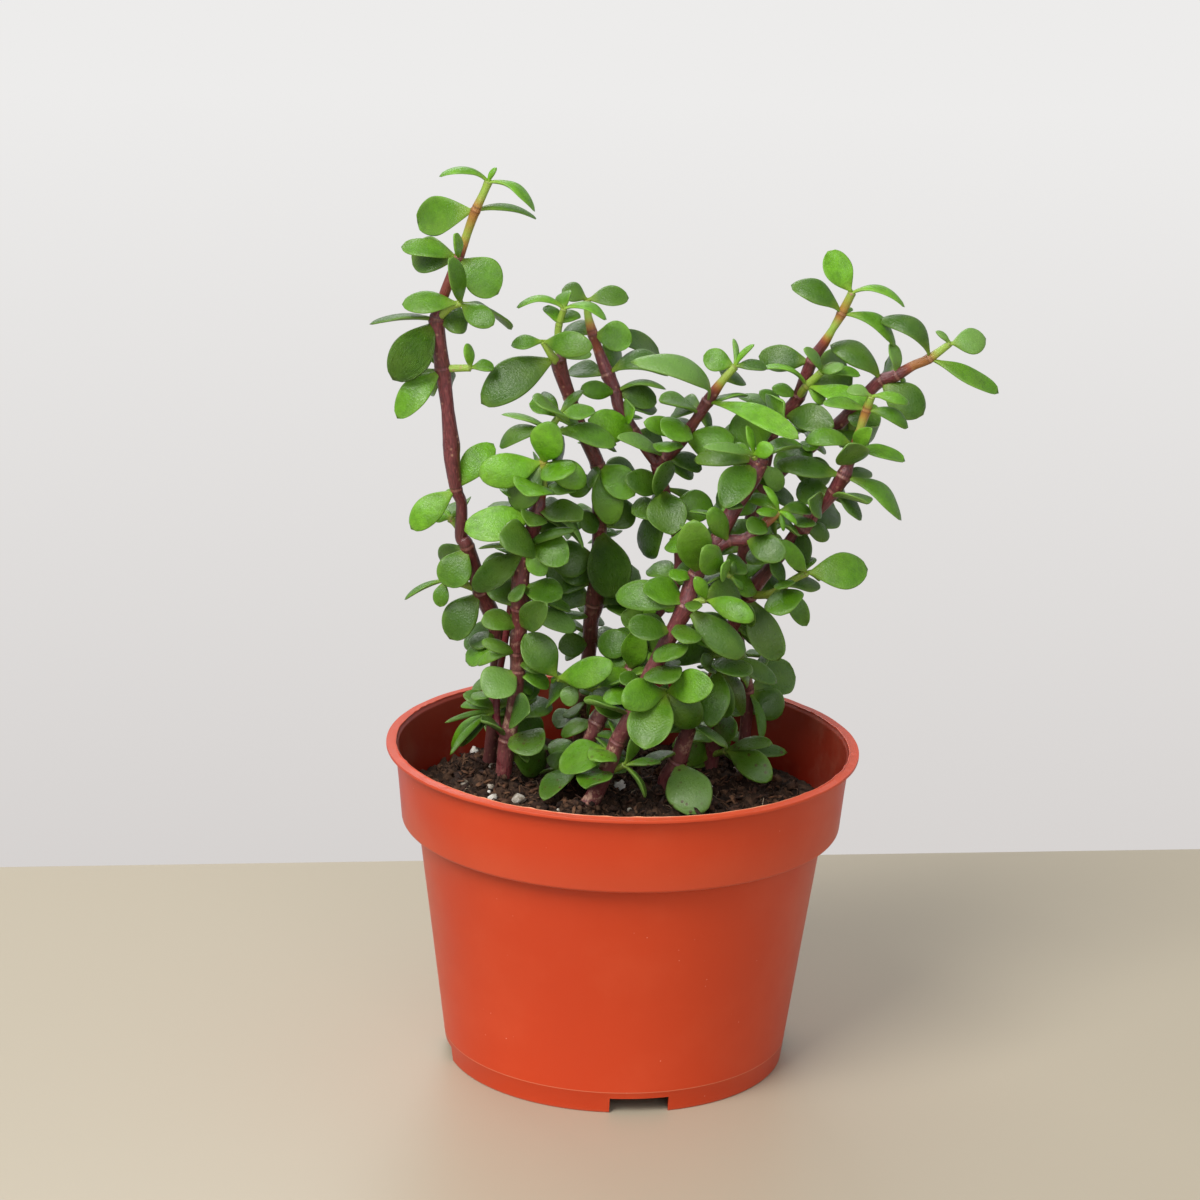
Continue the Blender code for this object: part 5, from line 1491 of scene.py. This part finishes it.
def make_pot(material):
    """The pot, turned from a profile with small rounds in place of its corners, and cut."""
    lip_foot = POT_HEIGHT - LIP_THICKNESS
    floor_top = FLOOR_UNDERSIDE + WALL
    corners = pot_corners(lip_foot, floor_top)
    places = [Vector((radius, height, 0)) for radius, height, *_ in corners]
    ends = [Vector((0, 0, 0)), *places, Vector((0, floor_top, 0))]
    piece = Piece("pot_edge_highlight", "pot_inside")
    starts = []
    for before, place, after, (_, _, rounding, edge, inside) in zip(ends, places, ends[2:], corners):
        for spot in rounded(place, before, after, rounding) if rounding else [place]:
            starts.append(len(piece.points))
            for angle in angles_round(POT_SIDES):
                radius, height, paleness = spot.x, spot.y, edge
                # Round the lip: waves, rags, and the painted highlight on the flash
                if radius > BAND_TOP_RADIUS - LIP_RAGGED_WIDE and height > lip_foot - LIP_RAGGED_HIGH:
                    radius, height, paleness = ragged_lip_and_highlight(angle, radius, height, edge)
                point = Vector((*on_circle(angle, radius), height))
                piece.add(point, pot_edge_highlight=paleness, pot_inside=inside)
    first = piece.add(Vector((0, 0, 0)))
    last = piece.add(Vector((0, 0, floor_top)), pot_inside=1.0)
    piece.close(starts, POT_SIDES, first, last)
    cut_pot(piece.made("nursery_pot", material, "pot_plastic", "pot"), floor_top)


def pot_cutters(floor_top):
    """The points and faces of the four notches in the foot and the four drain holes in the floor."""
    for notch in range(NOTCH_COUNT):
        angle = math.radians(FIRST_NOTCH_DEGREES + notch * 360 / NOTCH_COUNT)
        outwards = Vector((math.sin(angle), -math.cos(angle), 0))
        sideways = Vector((math.cos(angle), math.sin(angle), 0))
        corners = []
        for height in (-CUT_BEYOND, NOTCH_HEIGHT):
            for reach, side in ((NOTCH_FROM, -1), (NOTCH_TO, -1), (NOTCH_TO, 1), (NOTCH_FROM, 1)):
                corner = outwards * reach + sideways * side * NOTCH_WIDTH / 2
                corners.append(corner + Vector((0, 0, height)))
        yield corners, ring_faces(2, 4)
        hole_angle = angle + math.pi / 4
        middle = Vector((math.sin(hole_angle), -math.cos(hole_angle), 0)) * DRAIN_HOLE_CIRCLE
        low = middle + Vector((0, 0, FLOOR_UNDERSIDE - CUT_BEYOND))
        high = middle + Vector((0, 0, floor_top + CUT_BEYOND))
        yield shoot_body([low, high], [2 * DRAIN_HOLE_RADIUS] * 2, DRAIN_HOLE_SIDES)


def cut_pot(pot, floor_top):
    """Takes the notches and the holes out of the pot."""
    group = bpy.data.collections.new("pot_cutters")
    bpy.context.scene.collection.children.link(group)
    for corners, faces in pot_cutters(floor_top):
        group.objects.link(bpy.data.objects.new("pot_cutter", closed_mesh("pot_cutter", corners, faces)))
    boolean = pot.modifiers.new("cut", "BOOLEAN")
    boolean.operand_type = "COLLECTION"
    boolean.collection = group
    boolean.operation = "DIFFERENCE"
    boolean.solver = "EXACT"
    graph = bpy.context.evaluated_depsgraph_get()
    result = bpy.data.meshes.new_from_object(pot.evaluated_get(graph))
    pot.modifiers.clear()
    pot.data = result
    for cutter in list(group.objects):
        bpy.data.objects.remove(cutter)
    bpy.data.collections.remove(group)
    pot.data.set_sharp_from_angle(angle=math.radians(SHARP_DEGREES))


# The soil's surface
SOIL_ROUND = 260
SOIL_SURFACE_RINGS = 74
LUMP_HEIGHT = 1.7
LUMP_FINENESS = 0.33
GRIT_HEIGHT = 0.5
GRIT_FINENESS = 1.7
CRACK_DEPTH = 0.8
CRACK_FINENESS = 0.55
CRACK_SHARPNESS = 5
HEAP_HEIGHT = 2.2
HEAP_REACH = 4.8
SOIL_EDGE_FROM = 44
SOIL_EDGE_LEAST = 58.3
SOIL_EDGE_WAVE = 0.9


def crumbly(x, y):
    """How far the soil's surface stands above its smooth shape."""
    spot = Vector((x, y, 0))
    lumps = noise.fractal(spot * LUMP_FINENESS, 1.0, 2.1, 4)
    grit = noise.noise(spot * GRIT_FINENESS + Vector((7, 3, 1)))
    cracks = abs(noise.noise(spot * CRACK_FINENESS + Vector((2, 9, 4))))
    open_share = 1 - min(1.0, cracks * CRACK_SHARPNESS)
    return LUMP_HEIGHT * lumps + GRIT_HEIGHT * grit - CRACK_DEPTH * open_share


def heaped(x, y):
    """The little heap of soil that is pressed round the foot of each stem."""
    feet = [placed(*stem["shoots"][0][0][:3]) for stem in STEMS.values()]
    return max(HEAP_HEIGHT * bell(math.hypot(x - foot.x, y - foot.y), HEAP_REACH) for foot in feet)


def surface_height(x, y):
    """The height of the soil with all its lumps, which doesn't sink far at the pot's wall."""
    height = soil_height(x, y) + crumbly(x, y) + heaped(x, y)
    if math.hypot(x, y) <= SOIL_EDGE_FROM:
        return height
    return max(height, SOIL_EDGE_LEAST + SOIL_EDGE_WAVE * abs(noise.noise(Vector((x * 0.9, y * 0.9, 6)))))


def on_surface(x, y, above=0.0):
    return Vector((x, y, surface_height(x, y) + above))


def make_soil(material):
    """The soil, with smooth sides clear of the pot and a lumpy surface."""
    under = FLOOR_UNDERSIDE + WALL + CLEARANCE
    step = BAND_FOOT_HEIGHT + WALL - BAND_ROUNDING
    reach = BAND_FOOT_RADIUS - WALL - CLEARANCE
    outline = [
        (wall_radius(under) - WALL - CLEARANCE, under),
        (WALL_TOP_RADIUS - WALL - CLEARANCE, step),
        (WALL_TOP_RADIUS - WALL - CLEARANCE, step + CLEARANCE),
        (reach, step + CLEARANCE),
    ]
    piece = Piece("grain_tone")
    starts = []
    for radius, height in outline:
        starts.append(len(piece.points))
        for angle in angles_round(SOIL_ROUND):
            piece.add(Vector((*on_circle(angle, radius), height)))
    for ring in range(SOIL_SURFACE_RINGS):
        starts.append(len(piece.points))
        for angle in angles_round(SOIL_ROUND):
            x, y = on_circle(angle, reach * (1 - ring / SOIL_SURFACE_RINGS))
            tone = 0.5 + 0.5 * noise.noise(Vector((x * 0.5, y * 0.5, 4)))
            piece.add(on_surface(x, y), grain_tone=tone)
    first = piece.add(Vector((0, 0, under)))
    last = piece.add(on_surface(0, 0))
    piece.close(starts, SOIL_ROUND, first, last)
    piece.made("soil_mix", material, "soil", "soil")


# What lies in the soil. For a kind of grain: how often its ball is divided, how ragged it is, its most
# tilt, its slimness, and how fine its dents are
SOIL_SEED = 12
CRUMB = (1, 0.9, 0.75, (0.55, 0.95), 2.3)
CHIP = (1, 1.0, 0.75, (0.16, 0.5), 2.3)
PERLITE = (2, 0.55, 0.5, (0.55, 0.95), 1.6)
CRUMBS = 1200
CRUMB_REACH = 48.0
CRUMB_SIZES = (0.7, 1.9)
CLOD_SIZES = (1.9, 3.6)
CRUMB_SHARE = 0.86
CRUMB_FLATNESS = (0.35, 0.8)
CRUMB_LIFT = (0.0, 0.2)
EDGE_CRUMBS_FROM = 46.5
EDGE_CRUMB_MOST = 1.5
FOOT_CRUMBS = 16
FOOT_CRUMB_SIZES = (0.9, 2.4)
FOOT_CRUMB_AWAY = (0.2, 2.4)
FOOT_CRUMB_LIFT = 0.3
FOOT_CRUMB_FLATNESS = 0.7
SHREDS = 1700
SHRED_REACH = 47.5
SHRED_STEPS = 4
SHRED_STRIDES = (0.35, 1.1)
SHRED_BEND = 0.8
SHRED_THICKNESSES = (0.16, 0.42)
BARK_CHIPS = 420
CHIP_REACH = 44.0
CHIP_SIZES = (1.8, 5.8)
CHIP_FLATNESS = (0.08, 0.2)
CHIP_LIFT = (0.1, 0.9)
SMALL_PERLITE = 26
SMALL_PERLITE_SIZES = (0.8, 2.2)
SMALL_PERLITE_LIFT = 0.15
PERLITE_REACH = 46.0
PERLITE_FLATNESS = 0.8
PERLITE_LIFT = 0.2
PERLITE_SPOTS = (
    (-36, 63.5, 2.4), (-22.5, 67.5, 3.4), (-23.5, 59.3, 3.2), (-34, 71, 2.2), (-0.5, 64, 3.2),
    (26, 67, 2.2), (-30, 62, 2.0), (-29.5, 59.6, 2.6),
)
ROOT_FIBRES = 22
FIBRE_REACH = 42.0
FIBRE_STEPS = 8
FIBRE_STRIDE = 0.9
FIBRE_BEND = 0.5
FIBRE_THICKNESSES = (0.14, 0.3)
STRAND_REACH = 48.0
STRAND_SIDES = 4
STRAND_LIFT = 0.12
STRAND_ARCH = 0.5


def add_lump(piece, centre, size, flatness, looks, draw):
    """An irregular grain: a subdivided ball pushed in and out."""
    divisions, raggedness, tilt, slimness, dents = looks
    ball = bmesh.new()
    bmesh.ops.create_icosphere(ball, subdivisions=divisions, radius=0.5)
    turn = Matrix.Rotation(draw.uniform(0, ANY_TURN), 3, "Z")
    spin = turn @ Matrix.Rotation(draw.uniform(-tilt, tilt), 3, "Y")
    shift = Vector((draw.uniform(0, 90), draw.uniform(0, 90), 0))
    squeeze = Vector((1.0, draw.uniform(*slimness), flatness))
    points = []
    for corner in ball.verts:
        spot = corner.co.normalized()
        swell = 1 + raggedness * noise.noise(spot * dents + shift)
        points.append(centre + spin @ (spot * squeeze * swell * size / 2))
    faces = [[corner.index for corner in face.verts] for face in ball.faces]
    piece.add_body(points, faces, grain_tone=draw.random())
    ball.free()


def add_strand(piece, spot, steps, stride, bend, thin, draw):
    """A thread that wanders over the soil's surface."""
    x, y = spot
    heading = draw.uniform(0, 2 * math.pi)
    tone = draw.random()
    points = []
    for step in range(steps):
        heading += draw.uniform(-bend, bend)
        x += math.cos(heading) * stride
        y += math.sin(heading) * stride
        lift = STRAND_LIFT + STRAND_ARCH * math.sin(math.pi * step / steps)
        points.append(on_surface(x, y, lift))
    if max(math.hypot(point.x, point.y) for point in points) <= STRAND_REACH:
        piece.add_body(*shoot_body(points, [thin] * steps, STRAND_SIDES), grain_tone=tone)


def random_spot(draw, reach):
    angle = draw.uniform(0, 2 * math.pi)
    return on_circle(angle, reach * math.sqrt(draw.random()))


def add_crumbs(crumbs, draw):
    """Crumbs all over, more of them round each stem's foot, and shreds of peat."""
    for _ in range(CRUMBS):
        x, y = random_spot(draw, CRUMB_REACH)
        size = draw.uniform(*(CRUMB_SIZES if draw.random() < CRUMB_SHARE else CLOD_SIZES))
        if math.hypot(x, y) > EDGE_CRUMBS_FROM:
            size = min(size, EDGE_CRUMB_MOST)
        centre = on_surface(x, y, size * draw.uniform(*CRUMB_LIFT))
        add_lump(crumbs, centre, size, draw.uniform(*CRUMB_FLATNESS), CRUMB, draw)
    for stem in STEMS.values():
        across, up, back, wide = stem["shoots"][0][0]
        foot = placed(across, up, back)
        for _ in range(FOOT_CRUMBS):
            angle = draw.uniform(0, 2 * math.pi)
            away = wide / 2 + draw.uniform(*FOOT_CRUMB_AWAY)
            x = foot.x + math.cos(angle) * away
            y = foot.y + math.sin(angle) * away
            size = draw.uniform(*FOOT_CRUMB_SIZES)
            add_lump(crumbs, on_surface(x, y, FOOT_CRUMB_LIFT), size, FOOT_CRUMB_FLATNESS, CRUMB, draw)
    for _ in range(SHREDS):
        spot = random_spot(draw, SHRED_REACH)
        stride = draw.uniform(*SHRED_STRIDES)
        thin = draw.uniform(*SHRED_THICKNESSES)
        add_strand(crumbs, spot, SHRED_STEPS, stride, SHRED_BEND, thin, draw)


def add_chips(chips, draw):
    """Flat chips of bark."""
    for _ in range(BARK_CHIPS):
        x, y = random_spot(draw, CHIP_REACH)
        size = draw.uniform(*CHIP_SIZES)
        centre = on_surface(x, y, draw.uniform(*CHIP_LIFT))
        add_lump(chips, centre, size, draw.uniform(*CHIP_FLATNESS), CHIP, draw)


def soil_spot(across, up):
    """Where the eye sees the smooth soil at across and up, as (x, y)."""
    back = 0.0
    for _ in range(20):
        spot = placed(across, up, back)
        spread = (soil_height(spot.x, spot.y) - EYE_UP) / (up - EYE_UP)
        back = EYE_FRONT * (spread - 1)
    return placed(across, up, back).xy


def add_perlite(grains, draw):
    """White grains, the large ones where the eye sees them."""
    for across, up, size in PERLITE_SPOTS:
        centre = on_surface(*soil_spot(across, up)) + Vector((0, 0, size * PERLITE_LIFT))
        add_lump(grains, centre, size, PERLITE_FLATNESS, PERLITE, draw)
    for _ in range(SMALL_PERLITE):
        x, y = random_spot(draw, PERLITE_REACH)
        size = draw.uniform(*SMALL_PERLITE_SIZES)
        centre = on_surface(x, y, size * SMALL_PERLITE_LIFT)
        add_lump(grains, centre, size, PERLITE_FLATNESS, PERLITE, draw)


def add_fibres(fibres, draw):
    """Old root fibres."""
    for _ in range(ROOT_FIBRES):
        spot = random_spot(draw, FIBRE_REACH)
        thin = draw.uniform(*FIBRE_THICKNESSES)
        add_strand(fibres, spot, FIBRE_STEPS, FIBRE_STRIDE, FIBRE_BEND, thin, draw)


def make_soil_bits():
    """Crumbs, bark chips, white grains and old root fibres, lying in the surface."""
    draw = random.Random(SOIL_SEED)
    for name, material_name, add_all in (
        ("soil_crumbs", "soil_crumbs", add_crumbs),
        ("bark_chips", "bark", add_chips),
        ("perlite_grains", "perlite", add_perlite),
        ("root_fibres", "root_fibre", add_fibres),
    ):
        piece = Piece("grain_tone")
        add_all(piece, draw)
        piece.made(name, rough_material(material_name), "soil")


# The stage
FLOOR_BACK = 128.0
FLOOR_YAW = 0.126
FLOOR_REACH = 1400.0
FLOOR_COLOUR = (178, 168, 147)
FLOOR_SHADE = 0.97
FLOOR_ROUGHNESS = 0.42
AMBIENT = 0.55
BACKDROP_TOP = -0.14
BACKDROP_FOOT = -0.36
# Each lamp's name, place, aim, power, width, height and colour
LAMPS = (
    ("key_left", (-880, -1150, 1560), (0, 0, 90), 42.5, 1050, 1050, (1.0, 0.98, 0.95)),
    ("fill_front", (200, -900, 520), (0, 0, 90), 1.6, 500, 400, (1.0, 1.0, 1.0)),
    ("rim_back", (-200, 520, 560), (0, 0, 120), 1.6, 500, 300, (1.0, 1.0, 1.0)),
)


def make_floor():
    """A pale floor that ends a little behind the pot."""
    n = Nodes(bpy.data.materials.new("pale_floor"))
    pale = srgb(*FLOOR_COLOUR)
    shaded = (*(channel * FLOOR_SHADE for channel in pale[:3]), 1.0)
    colour = n.ramp(n.noise(2.0, 2.0), (0.3, shaded), (0.7, pale))
    corners = [
        Vector((-FLOOR_REACH, -FLOOR_REACH, 0)),
        Vector((FLOOR_REACH, -FLOOR_REACH, 0)),
        Vector((FLOOR_REACH, FLOOR_BACK + FLOOR_REACH * FLOOR_YAW, 0)),
        Vector((-FLOOR_REACH, FLOOR_BACK - FLOOR_REACH * FLOOR_YAW, 0)),
    ]
    mesh = bpy.data.meshes.new("floor")
    mesh.from_pydata([corner * MM for corner in corners], [], [(0, 1, 2, 3)])
    mesh.materials.append(n.finished({"Base Color": colour, "Roughness": FLOOR_ROUGHNESS}))
    floor = in_scene("floor", mesh)


def make_backdrop():
    """A pale backdrop with a painted shade that darkens it downwards, and an even light of its own."""
    n = Nodes(bpy.data.worlds.new("pale_studio"))
    bpy.context.scene.world = n.owner
    height = n.node("SeparateXYZ", "Z", {"Vector": n.node("TexCoord", "Generated", {})})
    span = {"From Min": BACKDROP_TOP, "From Max": BACKDROP_FOOT}
    fall = n.node("MapRange", "Result", {"Value": height, **span})
    shown = n.tree.nodes["Background"]
    # Painted shade: the backdrop seen by the camera darkens downwards
    n.give(shown.inputs["Color"], n.mix(fall, srgb(237, 236, 235), srgb(212, 208, 206)))
    lighting = n.node("Background", "Background", {"Color": srgb(245, 246, 250), "Strength": AMBIENT})
    seen = n.node("LightPath", "Is Camera Ray", {})
    either = n.node("MixShader", "Shader", {0: seen, 1: lighting, 2: shown.outputs["Background"]})
    n.give(n.tree.nodes["World Output"].inputs["Surface"], either)
    bpy.context.scene.view_settings.view_transform = "Standard"


def make_lights():
    for name, place, aim, power, width, height, colour in LAMPS:
        light = bpy.data.lights.new(name, "AREA")
        light.shape = "RECTANGLE"
        light.size = width * MM
        light.size_y = height * MM
        light.energy = power
        light.color = colour
        lamp = in_scene(name, light)
        lamp.location = Vector(place) * MM
        lamp.rotation_mode = "QUATERNION"
        lamp.rotation_quaternion = (Vector(aim) - Vector(place)).to_track_quat("-Z", "Y")


def make_camera():
    """The camera at the photograph's angle, rolled as the photograph is."""
    elevation = math.radians(CAMERA_ELEVATION)
    roll = math.radians(CAMERA_ROLL)
    back = Vector((0, -math.cos(elevation), math.sin(elevation)))
    up = Vector((0, math.sin(elevation), math.cos(elevation)))
    right = Vector((1, 0, 0))
    rolled_right = right * math.cos(roll) + up * math.sin(roll)
    rolled_up = up * math.cos(roll) - right * math.sin(roll)
    place = (Vector(TARGET) + back * CAMERA_DISTANCE) * MM
    turned_axes = Matrix((rolled_right, rolled_up, back)).transposed().to_4x4()
    data = bpy.data.cameras.new("camera")
    data.lens = LENS
    data.sensor_width = SENSOR
    data.clip_start = 0.01
    data.clip_end = 20.0
    camera = in_scene("camera", data)
    camera.matrix_world = Matrix.Translation(place) @ turned_axes
    bpy.context.scene.camera = camera


make_camera()
make_floor()
make_backdrop()
make_lights()
make_pot(pot_material())
make_soil(rough_material("soil_mix"))
make_soil_bits()
make_plant(leaf_material(), stem_material())
